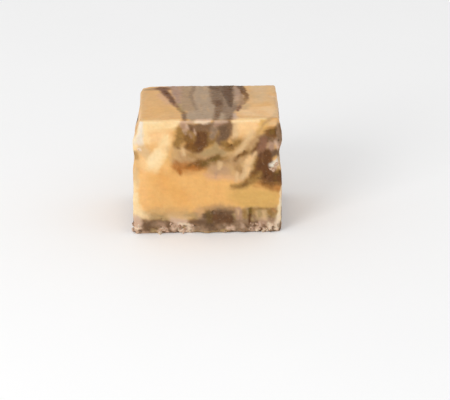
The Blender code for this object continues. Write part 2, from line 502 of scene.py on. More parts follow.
@dataclass(frozen=True)
class Marbling:
    """Where each colour lies on the piece, as smears of a named tone, first to last. Some paint highlight and
    shade.

    The four sides are one band: its first coordinate runs from the front's left end at -15 to its right end
    at 15, then on round the right side, the back and the left side. The top has its own plan, (x, distance
    from the front). The hidden sides repeat the front's figures.
    """

    # Shifts that make the smears' edges ragged, one seed for each direction.
    warps: Noises = ((2.2, 0.10, 0), (0.9, 0.12, 10), (0.4, 0.07, 20))
    warp_seeds: tuple[int, int, int] = (61, 62, 63)
    # Faint veins: how strong, between which heights they set in, and the noises sheared by the stirring.
    vein_strength: float = 0.14
    vein_height: Span = (11, 16)
    stirring: tuple[Triple, ...] = ((1, 0, 0.8), (0.3, 1, 0), (-0.5, 0, 1))
    thin_veins: Noises = ((4.2, 1, 81),)
    thin_range: Span = (0.02, 0.16)
    wide_veins: Noises = ((3.4, 1, 82),)
    wide_range: Span = (0.1, 0.6)
    # The chocolate base: its streaky upper edge, its patches and its specks.
    streak_noise: Noises = (((1.9, 1.9, 4.5), 1, 64), ((0.8, 0.8, 2.2), 0.45, 65))
    feather: float = 1.2
    feather_streaks: float = 0.8
    feather_range: Span = (0.4, 2.4)
    patch_noise: Noises = (((3.6, 3.6, 1.8), 1, 66),)
    patch_range: Span = (-0.35, 0.45)
    patch_streaks: float = 0.3
    cloud_noise: Noises = (((2.6, 2.6, 1.4), 1, 70),)
    cloud_range: Span = (0.05, 0.5)
    speck_noise: Noises = ((0.62, 1, 69),)
    speck_range: Span = (0.5, 0.8)
    # How much of each tone the base shows, and between which depths below the layer line it sets in.
    haze_share: float = 0.5
    haze_depth: Span = (-0.4, 0.6)
    base_depth: Span = (0.3, 0.9)
    patch_share: float = 0.9
    cloud_share: float = 0.7
    speck_share: float = 0.12
    speck_depth: Span = (-0.5, 1)
    # The sugary crumbs' colours end at this height and fade out over the last stretch below it.
    crumb_height: float = 2.4
    crumb_fade: float = 1.4
    # Pale tones of the lumps and the shade between them: the share, and the relief at which each sets in.
    sugar_layers: tuple[tuple[Tone, float, Span], ...] = (
        (Tone.ROSY_SUGAR, 0.8, (0, 0.35)),
        (Tone.SUGAR, 0.8, (0.3, 0.7)),
    )
    gap_share: float = 0.65
    gap_range: Span = (0.15, 0.5)
    # From this share of the front's half width on, the band eases to the nominal half width.
    end_share: float = 0.93
    # The top's plan takes over between these depths below the top.
    top_fade: Span = (0.42, 0.05)
    # What reflects less than the first share of the light is chocolate, and more than the second is caramel.
    cocoa_light: Span = (0.14, 0.36)
    luminance: Triple = (0.25, 0.6, 0.15)
    # Light and shade over everything, and over the chocolate alone.
    mottle: Noises = (((1.3, 1.3, 0.8), 0.05, 83), (0.5, 0.04, 84))
    cocoa_mottle: Noises = ((0.8, 0.16, 85), (0.42, 0.16, 86))
    # Repeated figures, each with its stretch, shift and squash.
    copies: tuple[tuple[str, float, float, float], ...] = (
        # Right side
        ("curve", 0.72, 32.4, 0.92),
        ("strokes", -0.98, 40.4, 0.94),
        # Back
        ("swirl", -1.1, 49.6, 1.0),
        ("curve", -1.2, 49.0, 0.96),
        ("strokes", 0.95, 51.6, 0.97),
        # Left side
        ("curve", -0.95, 77.8, 0.92),
        ("swirl", 0.98, 76.4, 0.86),
    )

    washes: tuple[Smear, ...] = (
        Smear(Tone.PEACH, ((-13.6, 13), (-13.6, 6.2)), (2.2, 2.2), 2.6, 0.9),
        Smear(Tone.HONEY, ((-9.8, 12.6), (-6, 8.4)), (3.4, 3.4), 3, 0.8),
        Smear(Tone.AMBER, ((6.6, 8.1), (12.6, 8.2)), (4.2, 4.2), 3, 0.95),
        # Fawn patch at the upper left: painted shade to the left of the highlight streak.
        Smear(Tone.FAWN, ((-13.3, 18.7), (-12.2, 17)), (2, 2), 1.4, 0.9),
        Smear(Tone.BLUSH, ((-11.6, 20.9), (-8.8, 21.2)), (3, 2.6), 1.4),
        Smear(Tone.BUTTER, ((-12.9, 23.5), (-6.8, 23.7)), (2.6, 1.9), 1),
        Smear(Tone.BUTTER, ((-13.2, 22.6), (-12.6, 20.3)), (1.4, 1.2), 1),
        Smear(Tone.PEACH, ((-9.6, 15.6), (-8.8, 14.9)), (1.4, 1.4), 1.2, 0.8),
        # The diagonal butter and cream streak: painted highlight where the knife-dragged face catches the
        # light, partly paler smeared fudge.
        Smear(Tone.BUTTER, ((-8.7, 20.9), (-8.9, 19.6), (-9.9, 17.6), (-11, 15.9)), (1.5, 3), 0.9, 0.95),
        Smear(Tone.CREAM, ((-10.4, 17.4), (-11.4, 15.9)), (1.6, 2.4), 1.2, 0.95),
        Smear(Tone.BLUSH, ((-13.5, 15.8), (-12.9, 14.6)), (1.6, 1.6), 1.2, 0.8),
        Smear(Tone.BUTTER, ((-11.8, 14.5), (-11, 14.1)), (1.2, 1), 1.4, 0.7),
        Smear(Tone.BLUSH, ((-8.9, 18.9), (-8.8, 17.9)), (0.9, 0.7), 0.6, 0.6),
        Smear(Tone.TAN, ((-6.8, 18.6), (-6.6, 16.7)), (2.4, 2.8), 1.1),
        Smear(Tone.LATTE, ((-4.8, 17.4), (-1, 16.8), (2.6, 17.4)), (3, 3), 1),
        Smear(Tone.TAN, ((2.4, 15.4), (6.6, 16.4), (8.7, 19.6)), (4.2, 4.2), 1.6),
        Smear(Tone.TAN, ((8.6, 14.4), (10.4, 17.4), (12.6, 20)), (3, 3), 1.2),
        Smear(Tone.LATTE, ((3.8, 15.8), (7, 16.4)), (2.4, 2), 1.4, 0.8),
        Smear(Tone.SALMON, ((0.2, 12.9), (6.8, 12.2)), (1.6, 1.8), 1.4),
        Smear(Tone.BLUSH, ((6.8, 23.6), (9, 22.6)), (3.4, 3.2), 1.4),
        Smear(Tone.FAWN, ((5.4, 23.6), (5.7, 21.5)), (1.3, 1.6), 1),
    )
    swirl: tuple[Smear, ...] = (
        Smear(Tone.OLIVE, ((-4.5, 22.2), (-1, 20.7), (2.3, 21.9)), (4, 4.2), 1.1),
        Smear(Tone.OLIVE, ((-5.8, 22.3), (-6, 20.9), (-6.3, 20)), (1.6, 2), 1.1),
        Smear(Tone.UMBER, ((-4.4, 20.9), (-3.6, 19.4)), (2.2, 2.6), 0.9, 0.75),
        Smear(Tone.COCOA, ((-3.4, 23.3), (0.2, 23.1)), (1.8, 2.2), 0.8),
        Smear(Tone.HAZEL, ((1.7, 23.6), (0.9, 21.1)), (1.6, 1.4), 0.7),
        Smear(Tone.COCOA, ((3.3, 23.3), (3.6, 21.6), (2.8, 20.2)), (2.9, 2.3), 0.8),
        Smear(Tone.SMOKE, ((3.2, 23), (3.5, 21.4), (3, 20.8)), (1.6, 1.4), 0.8, 0.9),
        Smear(Tone.BITTER, ((-1.3, 21.2), (-1.3, 19.9), (-2, 18.9)), (2.5, 2.4), 0.7),
        Smear(Tone.UMBER, ((-3.9, 19.2), (-2.9, 18.4)), (1.4, 1.3), 0.8),
        Smear(Tone.OLIVE, ((-3.4, 17.5), (-2.2, 16.5)), (1.2, 0.9), 1, 0.7),
        Smear(Tone.TAUPE, ((1.5, 19.2), (1.2, 18)), (1, 3.6), 0.7),
        Smear(Tone.TAUPE, ((-0.8, 17.6), (3.2, 17.7)), (0.9, 0.9), 0.8),
        Smear(Tone.OLIVE, ((3.4, 19.5), (4.3, 18.8)), (1.5, 1.5), 0.8),
        Smear(Tone.LATTE, ((4.8, 20.7), (5.2, 20.2)), (0.9, 0.8), 0.7, 0.9),
        Smear(Tone.OLIVE, ((4.4, 18.8), (6, 19.7)), (1.5, 1.6), 1),
        Smear(Tone.UMBER, ((4.2, 19.4), (5, 18.9)), (0.7, 0.6), 0.7, 0.7),
        Smear(Tone.ROSE, ((-5.1, 23.9), (-4.6, 22.9)), (0.9, 0.7), 0.6, 0.8),
        Smear(Tone.ROSY_SUGAR, ((-4.7, 22.5), (-4.5, 21.9)), (0.7, 0.5), 0.6, 0.7),
        Smear(Tone.ROSY_SUGAR, ((-4.3, 23.6), (-4.1, 23.2)), (0.5, 0.4), 0.5, 0.6),
        Smear(Tone.ROSY_SUGAR, ((-2.9, 22.6), (-2.7, 22.1)), (0.5, 0.4), 0.6, 0.6),
        Smear(Tone.ROSE, ((-3.7, 21.7), (-3.5, 21.2)), (0.4, 0.3), 0.5, 0.5),
        Smear(Tone.BITTER, ((-3.4, 22.9), (-3.2, 22.4)), (0.5, 0.3), 0.4, 0.7),
        Smear(Tone.FAWN, ((-5.2, 18.3), (-5.1, 17.4)), (1, 0.9), 0.6, 0.9),
        Smear(Tone.UMBER, ((-6.4, 18.8), (-5.9, 18.7)), (0.5, 0.4), 0.5, 0.8),
    )
    curve: tuple[Smear, ...] = (
        Smear(Tone.LATTE, ((-7, 15.7), (-5.2, 15.3), (-2.4, 15.7), (1.4, 16.6)), (1.4, 1.4), 1.2, 0.8),
        Smear(Tone.TOFFEE, ((-6.6, 14.2), (-4.6, 13.6), (-0.8, 14)), (1.4, 0.9), 1.8, 0.5),
        Smear(Tone.TOFFEE, ((-6.8, 15.1), (-6, 14.5), (-4.6, 14.7), (-2.4, 14.8)), (1.3, 1.5), 1.1),
        Smear(Tone.TOFFEE, ((-6, 14.2), (-5.8, 13.2)), (0.8, 0.3), 0.8),
        Smear(Tone.TOFFEE, ((-3.2, 14.5), (-0.2, 14.4)), (0.7, 0.5), 1.2, 0.7),
        Smear(Tone.UMBER, ((-4.2, 15), (-2.6, 15.5)), (0.5, 0.6), 0.7, 0.7),
        Smear(Tone.UMBER, ((-2, 14.9), (-0.2, 14.8)), (0.8, 0.6), 0.9, 0.8),
        Smear(Tone.UMBER, ((-1.8, 15.5), (0, 15.4), (0.8, 15.9), (2.2, 16.5)), (1.5, 1.4), 0.9, 0.9),
        Smear(Tone.MOSS, ((-1.2, 15.5), (-0.1, 15.4), (0.8, 16), (2, 16.5)), (1, 0.9), 0.7),
        Smear(Tone.OLIVE, ((2.2, 16.2), (3.6, 16.6)), (1, 0.6), 0.9, 0.8),
        Smear(Tone.UMBER, ((0.2, 14.9), (2, 15.3), (3.8, 15.6)), (0.8, 0.6), 1, 0.55),
        Smear(Tone.LATTE, ((3.4, 15), (4.8, 15)), (1, 1.2), 1, 0.8),
        Smear(Tone.TAN, ((0.8, 14.3), (4.9, 13.9)), (1.6, 2.4), 1.4, 0.8),
        Smear(Tone.ROSE, ((0.8, 14.3), (3.4, 13.9)), (1, 1.6), 1.2, 0.5),
        Smear(Tone.FAWN, ((2.4, 15.4), (2.3, 14.4)), (0.9, 0.7), 0.6, 0.8),
        Smear(Tone.ROSE, ((1.7, 13.2), (1.6, 12.3)), (0.9, 0.3), 0.8, 0.7),
        Smear(Tone.LATTE, ((5.6, 14.8), (6.8, 13.8), (6.8, 12.4)), (2, 1.4), 0.9),
        Smear(Tone.OLIVE, ((6, 14.5), (6.8, 13.6)), (0.8, 0.6), 0.8, 0.7),
        Smear(Tone.FAWN, ((5.9, 13), (5.8, 11.9)), (0.8, 0.8), 0.6, 0.8),
    )
    strokes: tuple[Smear, ...] = (
        Smear(Tone.FAWN, ((12, 24.1), (15, 24.1)), (1.4, 1.4), 0.9, 0.8),
        Smear(Tone.AMBER, ((11.6, 24.5), (11, 22.7), (9.9, 21.4)), (1.4, 1.2), 1, 0.8),
        Smear(Tone.LATTE, ((12.8, 24.8), (11.6, 23.9), (10.6, 22.4), (9.8, 21.2)), (0.3, 0.7), 0.6, 0.8),
        Smear(Tone.LATTE, ((10.6, 21), (9, 19.6), (7.7, 18.5)), (1.2, 1.3), 0.8, 0.9),
        Smear(Tone.FAWN, ((9.3, 21.8), (7.9, 20.1), (6.7, 18.5), (5.9, 17.4)), (1, 0.8), 0.8, 0.9),
        Smear(Tone.UMBER, ((12.3, 21.6), (13.6, 21.8), (16.4, 22.2)), (2, 2.6), 0.8),
        Smear(Tone.BITTER, ((12.4, 21.2), (14, 21.5)), (1, 1.2), 0.9, 0.7),
        Smear(Tone.MOSS, ((12.6, 21.7), (13.6, 22.3), (15, 22.8)), (0.8, 1.3), 0.7, 0.7),
        Smear(Tone.UMBER, ((12, 21), (10.8, 20.4)), (1.2, 0.6), 0.7),
        Smear(Tone.COCOA, ((11.4, 20.4), (14.6, 20.2)), (1.4, 1.2), 0.8, 0.9),
        Smear(Tone.UMBER, ((11.1, 20), (10.1, 18.7), (9.1, 17.5)), (1.3, 1.1), 0.6),
        Smear(Tone.BITTER, ((10.6, 19.5), (10, 18.7), (9.2, 17.7)), (0.6, 0.5), 0.5, 0.7),
        Smear(Tone.OLIVE, ((8.2, 18), (6.6, 17.2)), (0.9, 0.9), 0.9, 0.7),
        Smear(Tone.UMBER, ((7.4, 17.6), (6.3, 16.9), (5.6, 15.9)), (0.9, 0.5), 0.7, 0.8),
        Smear(Tone.FAWN, ((9.9, 17.1), (8.4, 15.9), (7.9, 14.6), (7.7, 13), (7, 12.1)), (1.1, 0.9), 0.9),
        Smear(Tone.BLUSH, ((8.7, 16.3), (8, 15.4)), (0.8, 0.7), 0.7, 0.8),
        Smear(Tone.BLUSH, ((8.3, 14.1), (8.1, 13.2)), (0.7, 0.6), 0.7, 0.8),
        Smear(Tone.OLIVE, ((10.1, 16.2), (9.8, 14.9), (9.6, 13.2)), (0.9, 1.3), 0.8),
        Smear(Tone.UMBER, ((10.1, 15.4), (9.9, 13.8), (9.3, 12.4)), (0.7, 0.9), 0.8, 0.7),
        Smear(Tone.PLUM, ((11.1, 20), (11.1, 18.4), (11.3, 17.2)), (1.6, 2.2), 0.8),
        Smear(Tone.ROSE, ((12.8, 19), (13, 18.1)), (1.5, 1.3), 0.8),
        Smear(Tone.SMOKE, ((12.2, 16.9), (14, 17.4)), (1.6, 1.4), 0.8),
        Smear(Tone.ROSY_SUGAR, ((14.2, 19.8), (14.5, 18.6)), (1.3, 1.1), 0.7, 0.9),
        Smear(Tone.BITTER, ((11.7, 16.7), (11.6, 15.2), (11.6, 13.8)), (3, 3.8), 0.8),
        Smear(Tone.TOFFEE, ((9.6, 11), (11.6, 10.7), (14.4, 10)), (1.2, 1.8), 1.2, 0.85),
        Smear(Tone.UMBER, ((11.4, 10.8), (12.8, 10.4)), (1, 1.4), 1, 0.9),
        Smear(Tone.BITTER, ((9.8, 12.7), (12.6, 12.2), (15.8, 12)), (2.2, 3.2), 1),
        Smear(Tone.MOSS, ((14, 14.2), (14.2, 11.2)), (1.1, 1), 0.7, 0.6),
        Smear(
            Tone.OLIVE, ((10, 12.6), (8.6, 11.5), (7.5, 10.6), (6.1, 10.3), (4.8, 10.3)), (2, 0.4), 0.9, 0.95
        ),
        Smear(Tone.UMBER, ((9.6, 13), (8.6, 12.2)), (0.9, 0.6), 0.7, 0.6),
        Smear(Tone.UMBER, ((7.7, 11), (6.9, 10.5)), (0.6, 0.4), 0.6, 0.7),
        Smear(Tone.FAWN, ((15.3, 16.6), (14.7, 15.8), (15, 14.4)), (1.2, 1), 0.6, 0.95),
        Smear(Tone.BITTER, ((12, 14.6), (12, 13.6)), (0.8, 0.8), 0.6, 0.8),
        Smear(Tone.ROSY_SUGAR, ((13.6, 14.3), (13.1, 13.7)), (0.7, 0.5), 0.5, 0.8),
    )
    arrises: tuple[Smear, ...] = (
        # Along the top front arris: the cream lines are painted highlight of the rounded edge; the sugary
        # bits between them are pale crumbs, partly painted highlight too.
        Smear(Tone.CREAM, ((-13.6, 24.6), (-5.9, 24.6)), (0.8, 0.8), 0.7),
        Smear(Tone.ROSY_SUGAR, ((-5.4, 24.5), (-3.2, 24.4)), (0.8, 0.6), 0.6, 0.8),
        Smear(Tone.SUGAR, ((-2.4, 24.4), (0.2, 24.4)), (0.7, 0.6), 0.6, 0.9),
        Smear(Tone.ROSE, ((1.6, 23.8), (3, 23.9)), (0.8, 0.6), 0.8, 0.8),
        Smear(Tone.ROSY_SUGAR, ((1.7, 24.4), (3.7, 24.4)), (0.7, 0.5), 0.6, 0.8),
        Smear(Tone.CREAM, ((5.4, 24.6), (10.2, 24.6)), (0.7, 0.7), 0.7, 0.9),
        Smear(Tone.CHALK, ((-14.4, 24.2), (-14.3, 20.4)), (2.2, 1.6), 0.9, 0.95),
        # Olive spot at the left corner: painted shadow inside the chip there.
        Smear(Tone.OLIVE, ((-15, 17.7), (-14.9, 16.6)), (1, 0.9), 0.7, 0.8),
        Smear(Tone.SUGAR, ((-14.2, 18.8), (-14, 18.6)), (0.6, 0.5), 0.4),
        Smear(Tone.FAWN, ((-14.8, 15.8), (-14.8, 10.8)), (0.9, 0.7), 1, 0.8),
        Smear(Tone.CREAM, ((-15, 11.6), (-15, 3.6)), (0.6, 0.9), 0.9, 0.9, 0.5, 0.4),
        Smear(Tone.CHALK, ((15, 9.8), (15, 3.4)), (0.1, 1.2), 0.6, 0.95, 0.4, 0.4),
        Smear(Tone.HAZEL, ((14.8, 23.2), (14.8, 20)), (1.1, 0.9), 0.7, 0.75, 0.4),
        Smear(Tone.CHALK, ((14.7, 15.4), (13.8, 15.1), (13, 14.7)), (1.4, 0.8), 0.6, 0.95),
    )
    foot: tuple[Smear, ...] = (
        # The pale haze above the base
        Smear(Tone.AMBER, ((6.8, 6.4), (13.2, 6.1)), (1, 1.2), 0.7, 0.95),
        Smear(Tone.FAWN, ((-13.6, 4.2), (-12.5, 3.9)), (1.8, 1.3), 1),
        Smear(Tone.CREAM, ((-14.7, 6), (-14.2, 4.2)), (0.9, 1.8), 1.1),
        Smear(Tone.TAN, ((-12.2, 5), (-4.8, 4.7)), (1.2, 1.4), 1.4, 0.8),
        Smear(Tone.TAUPE, ((-11.8, 3.8), (-9, 3.9)), (1, 1.2), 0.9, 0.9),
        Smear(Tone.TAN, ((-8.4, 4.1), (-5.4, 3.9)), (1.4, 1.2), 1, 0.9),
        Smear(Tone.TAUPE, ((-4.8, 3.9), (-2.8, 3.9)), (1, 1.1), 0.9, 0.9),
        Smear(Tone.ROSE, ((-2.2, 5), (-1.6, 4)), (1.2, 1), 1.2, 0.5),
        Smear(Tone.LATTE, ((-0.8, 5.5), (4.6, 5.4)), (0.6, 0.8), 1.2, 0.8),
        # The dark patch at the left
        Smear(Tone.COCOA, ((-13.2, 1.8), (-8.6, 1.9)), (2, 1.6), 0.8),
        Smear(Tone.SMOKE, ((-13.7, 1.5), (-12.5, 1.7)), (1.5, 1.8), 0.7, 0.8),
        Smear(Tone.HAZEL, ((-11.4, 2.1), (-9.4, 2.1)), (1.2, 1.2), 0.8, 0.8),
        Smear(Tone.ROSE, ((-10.1, 2), (-9.5, 1.8)), (0.8, 0.6), 0.6, 0.6),
        Smear(Tone.SMOKE, ((-8.6, 2.4), (-8.4, 1.6)), (0.7, 0.9), 0.6, 0.8),
        Smear(Tone.TAUPE, ((-9.6, 3.1), (-8.6, 3.1)), (0.4, 0.4), 0.6, 0.8),
        Smear(Tone.TAUPE, ((-12, 0.6), (-10.8, 0.6)), (0.8, 0.8), 0.6, 0.8),
        Smear(Tone.ROSY_SUGAR, ((-10.5, 0.5), (-9.9, 1.1), (-9.1, 1.1), (-8.7, 0.4)), (0.5, 0.5), 0.5),
        Smear(Tone.ROSY_SUGAR, ((-14.6, 0.2), (-12.6, 0.3)), (0.5, 0.5), 0.5, 0.8),
        # The pale wedge and the crumbs under it
        Smear(Tone.FAWN, ((-8, 3.5), (-5, 3.4)), (1.2, 1.3), 1, 0.7),
        Smear(Tone.ROSY_SUGAR, ((-7.7, 3), (-6.6, 2.5), (-5.4, 2.4)), (0.7, 1.3), 0.9, 0.9),
        Smear(Tone.ROSY_SUGAR, ((-7, 1.3), (-3.9, 1.2)), (1.5, 1.7), 0.8, 0.85),
        Smear(Tone.SUGAR, ((-5.8, 1.9), (-6, 0.9), (-5.1, 0.6)), (0.8, 0.7), 0.5),
        Smear(Tone.SUGAR, ((-5.2, 2), (-4.3, 1.8), (-3.9, 1.2), (-4, 0.6)), (0.7, 0.9), 0.5),
        Smear(Tone.TAUPE, ((-5.3, 1.4), (-5.2, 1.1)), (0.5, 0.4), 0.4),
        Smear(Tone.HAZEL, ((-6.8, 1.3), (-6.7, 0.8)), (0.5, 0.6), 0.5, 0.8),
        # The dark patch in the middle
        Smear(Tone.COCOA, ((-4.4, 2.7), (-2.4, 2.4)), (0.6, 1.3), 0.7),
        Smear(Tone.SMOKE, ((-0.3, 3.8), (3.9, 3.5)), (2.4, 3), 1),
        Smear(Tone.SMOKE, ((-1.6, 2.3), (0.4, 1.9), (0.8, 0.8)), (1.6, 1.5), 0.8, 0.9),
        Smear(Tone.BITTER, ((1.2, 3.6), (4.4, 3)), (2, 2), 1.2, 0.6),
        Smear(Tone.MOSS, ((-0.2, 4.7), (0.1, 2.8)), (1, 0.8), 0.8, 0.6),
        Smear(Tone.HAZEL, ((-3, 1.2), (-1.2, 1)), (1.5, 1.2), 0.7, 0.9),
        Smear(Tone.TAUPE, ((-3.2, 0.2), (3, 0.2)), (0.5, 0.5), 0.5, 0.8),
        Smear(Tone.HAZEL, ((2.2, 1.2), (5.8, 1.1)), (1.2, 1.4), 0.6),
        Smear(Tone.ROSY_SUGAR, ((3.9, 1.2), (4.7, 1.2)), (0.8, 0.7), 0.5),
        Smear(Tone.TAUPE, ((2.6, 0.5), (3.6, 0.5)), (0.6, 0.6), 0.5, 0.9),
        # The streaky patches at the right
        Smear(Tone.TAUPE, ((6.2, 4), (9.6, 3.8), (13.4, 3.6)), (2.4, 2.8), 0.8),
        Smear(Tone.ROSE, ((6.2, 4.8), (6.4, 3)), (1.4, 1.3), 0.9, 0.9),
        Smear(Tone.FAWN, ((5.9, 4.9), (6, 4)), (0.4, 0.3), 0.5, 0.6),
        Smear(Tone.OLIVE, ((7.4, 4.7), (7.4, 3.4)), (0.8, 0.6), 0.7, 0.8),
        Smear(Tone.HAZEL, ((5.8, 2.3), (7.8, 2.6)), (0.8, 0.8), 0.6, 0.9),
        Smear(Tone.COCOA, ((7.4, 1.6), (7.8, 1.1)), (0.7, 0.5), 0.5, 0.8),
        Smear(Tone.ROSY_SUGAR, ((6.7, 1.8), (6.9, 1.2)), (0.7, 0.5), 0.5, 0.7),
        Smear(Tone.TAUPE, ((9.7, 4.2), (11.6, 4.1)), (1.8, 1.9), 0.9),
        Smear(Tone.FAWN, ((9.6, 4.6), (9.8, 3.2)), (0.5, 0.4), 0.6, 0.6),
        Smear(Tone.FAWN, ((11.2, 4.6), (11.4, 3.2)), (0.8, 0.7), 0.7, 0.7),
        Smear(Tone.OLIVE, ((9.4, 5.2), (11.8, 5.2)), (0.4, 0.4), 0.6, 0.7),
        Smear(Tone.MOSS, ((8.5, 5.2), (8.5, 4)), (0.8, 0.7), 0.6),
        Smear(Tone.OLIVE, ((9.1, 5), (9.3, 3.6)), (0.6, 0.5), 0.7, 0.7),
        Smear(Tone.BITTER, ((8.4, 3.9), (8.2, 2.2)), (0.7, 0.6), 0.5),
        Smear(Tone.HAZEL, ((9.2, 3.4), (9.6, 2.8)), (0.6, 0.6), 0.6, 0.7),
        Smear(Tone.OLIVE, ((12.4, 4.4), (12.9, 3.9)), (1, 0.8), 0.6, 0.9),
        Smear(Tone.TOFFEE, ((13.3, 5), (13.7, 4.7)), (0.5, 0.4), 0.7, 0.6),
        Smear(Tone.COCOA, ((12.6, 3), (13.3, 2.7)), (1, 0.8), 0.6, 0.8),
        Smear(Tone.ROSY_SUGAR, ((10.6, 2.6), (13.6, 2.2)), (0.8, 0.8), 0.8, 0.6),
        Smear(Tone.ROSE, ((10.9, 2), (11.8, 1.4)), (1.2, 1.2), 0.7, 0.7),
        Smear(
            Tone.ROSY_SUGAR, ((8.9, 1.5), (9.1, 0.7), (9.9, 0.5), (10.4, 1.2), (10.4, 2.1)), (0.6, 0.5), 0.5
        ),
        Smear(Tone.BITTER, ((9.4, 1.6), (10, 1.5)), (0.4, 0.3), 0.4, 0.9),
        Smear(Tone.BITTER, ((10.5, 0.7), (10.6, 0.3)), (0.5, 0.4), 0.4, 0.8),
        Smear(Tone.SUGAR, ((12.4, 1.5), (12.6, 0.8)), (0.9, 0.7), 0.5, 0.9),
        Smear(Tone.CREAM, ((15, 9.8), (14.8, 6.4), (14.7, 3)), (0.1, 1.2), 0.5, 0.95, 0.4, 0.3),
        Smear(Tone.CHALK, ((15, 7.4), (14.8, 3.8)), (0.6, 0.6), 0.5, 0.5, 0.3, 0.15),
        Smear(Tone.SUGAR, ((14.4, 3.4), (14, 1.8), (14, 0.9)), (0.9, 1.2), 0.6, 0.95),
        Smear(Tone.SMOKE, ((13.1, 0.6), (13.2, 0.3)), (0.4, 0.4), 0.4, 0.9),
        Smear(Tone.ROSY_SUGAR, ((-14.9, 3.4), (-14.7, 1.3)), (1.3, 1.3), 0.8, 0.9),
    )
    hidden: tuple[Smear, ...] = (
        # Right side
        Smear(Tone.PEACH, ((18, 8), (30, 9)), (4, 4), 3.6, 0.7),
        Smear(Tone.TAN, ((17, 16.6), (24, 17.4), (36, 18.4)), (6, 7), 2.4, 0.9),
        Smear(Tone.BLUSH, ((17, 24), (36, 24)), (2, 2), 1.4, 0.9),
        Smear(Tone.LATTE, ((33.6, 20.6), (36.6, 17.4)), (3.6, 3), 1.6, 0.8),
        # Back
        Smear(Tone.AMBER, ((42, 9.5), (52, 8.6)), (4, 4), 3.4, 0.8),
        Smear(Tone.HONEY, ((57, 9.5), (64, 11)), (3.6, 3.6), 2.6, 0.8),
        Smear(Tone.TAN, ((38.6, 20), (46, 18.4), (58, 18.8), (67, 19.4)), (7, 7), 2.4, 0.9),
        Smear(Tone.BUTTER, ((39, 23.9), (43.4, 23.8)), (1.8, 1.6), 1.2, 0.9),
        Smear(Tone.HAZEL, ((45.6, 25), (52, 25)), (1.8, 1.8), 0.9, 0.9),
        Smear(Tone.MIST, ((53.6, 25), (53.8, 20.4)), (5, 3.6), 1.2),
        Smear(Tone.TAUPE, ((57.2, 25), (57, 22)), (2.4, 1.6), 1, 0.9),
        Smear(Tone.ROSE, ((59.6, 24.8), (59, 21.6)), (2.6, 1.8), 1, 0.9),
        Smear(Tone.CREAM, ((44.4, 19.6), (42.8, 15.6)), (1.4, 2.6), 1.1, 0.9),
        Smear(Tone.PLUM, ((60.8, 25), (65, 24.6)), (1.8, 1.2), 0.9),
        # Left side
        Smear(Tone.HONEY, ((70, 9), (76, 8.4)), (4, 4), 3, 0.8),
        Smear(Tone.PEACH, ((81, 10.5), (88, 9.5)), (4, 4), 3, 0.8),
        Smear(Tone.TAN, ((69, 18), (78, 17.6), (83, 18.4)), (7, 5.4), 2.4, 0.9),
        Smear(Tone.FAWN, ((69.6, 24.2), (80, 24)), (1.6, 1.6), 1.4, 0.9),
        Smear(Tone.BLUSH, ((85.4, 23.6), (89.6, 22), (89.8, 18)), (2.2, 3), 2, 0.9),
        Smear(Tone.BUTTER, ((86.6, 19.8), (84.4, 17)), (1, 1.8), 1.2, 0.8, 0.5),
    )
    corners: tuple[Smear, ...] = (
        # The dark strokes carried on round the front's right end
        Smear(Tone.UMBER, ((15, 22.2), (17.4, 21.6), (19.6, 19.6)), (2.6, 0.8), 0.9),
        Smear(Tone.COCOA, ((14.9, 20.4), (16.4, 20)), (1.6, 0.9), 0.9, 0.9),
        Smear(Tone.ROSE, ((15.2, 19), (17.6, 18)), (1.6, 1), 0.9, 0.9),
        Smear(Tone.SMOKE, ((15.2, 17.2), (17, 16.6)), (1.6, 1), 0.9),
        Smear(Tone.BITTER, ((15.4, 12), (17.6, 12), (20.6, 13.4), (22.4, 15.6)), (3, 1), 0.9),
        Smear(Tone.OLIVE, ((16.4, 10.6), (19.6, 10.8), (22.6, 12.6)), (1, 0.5), 0.9),
        # The pale end of the front's left, and the worn uprights at the back
        Smear(Tone.CREAM, ((90.2, 24), (90.2, 17)), (1.2, 1.2), 0.8, 0.9),
        Smear(Tone.CREAM, ((37.8, 21), (37.9, 8)), (0.5, 0.6), 0.8, 0.7, 0.6, 0.6),
        Smear(Tone.CREAM, ((67.8, 20), (67.8, 6)), (0.6, 0.5), 0.8, 0.7, 0.6, 0.6),
    )
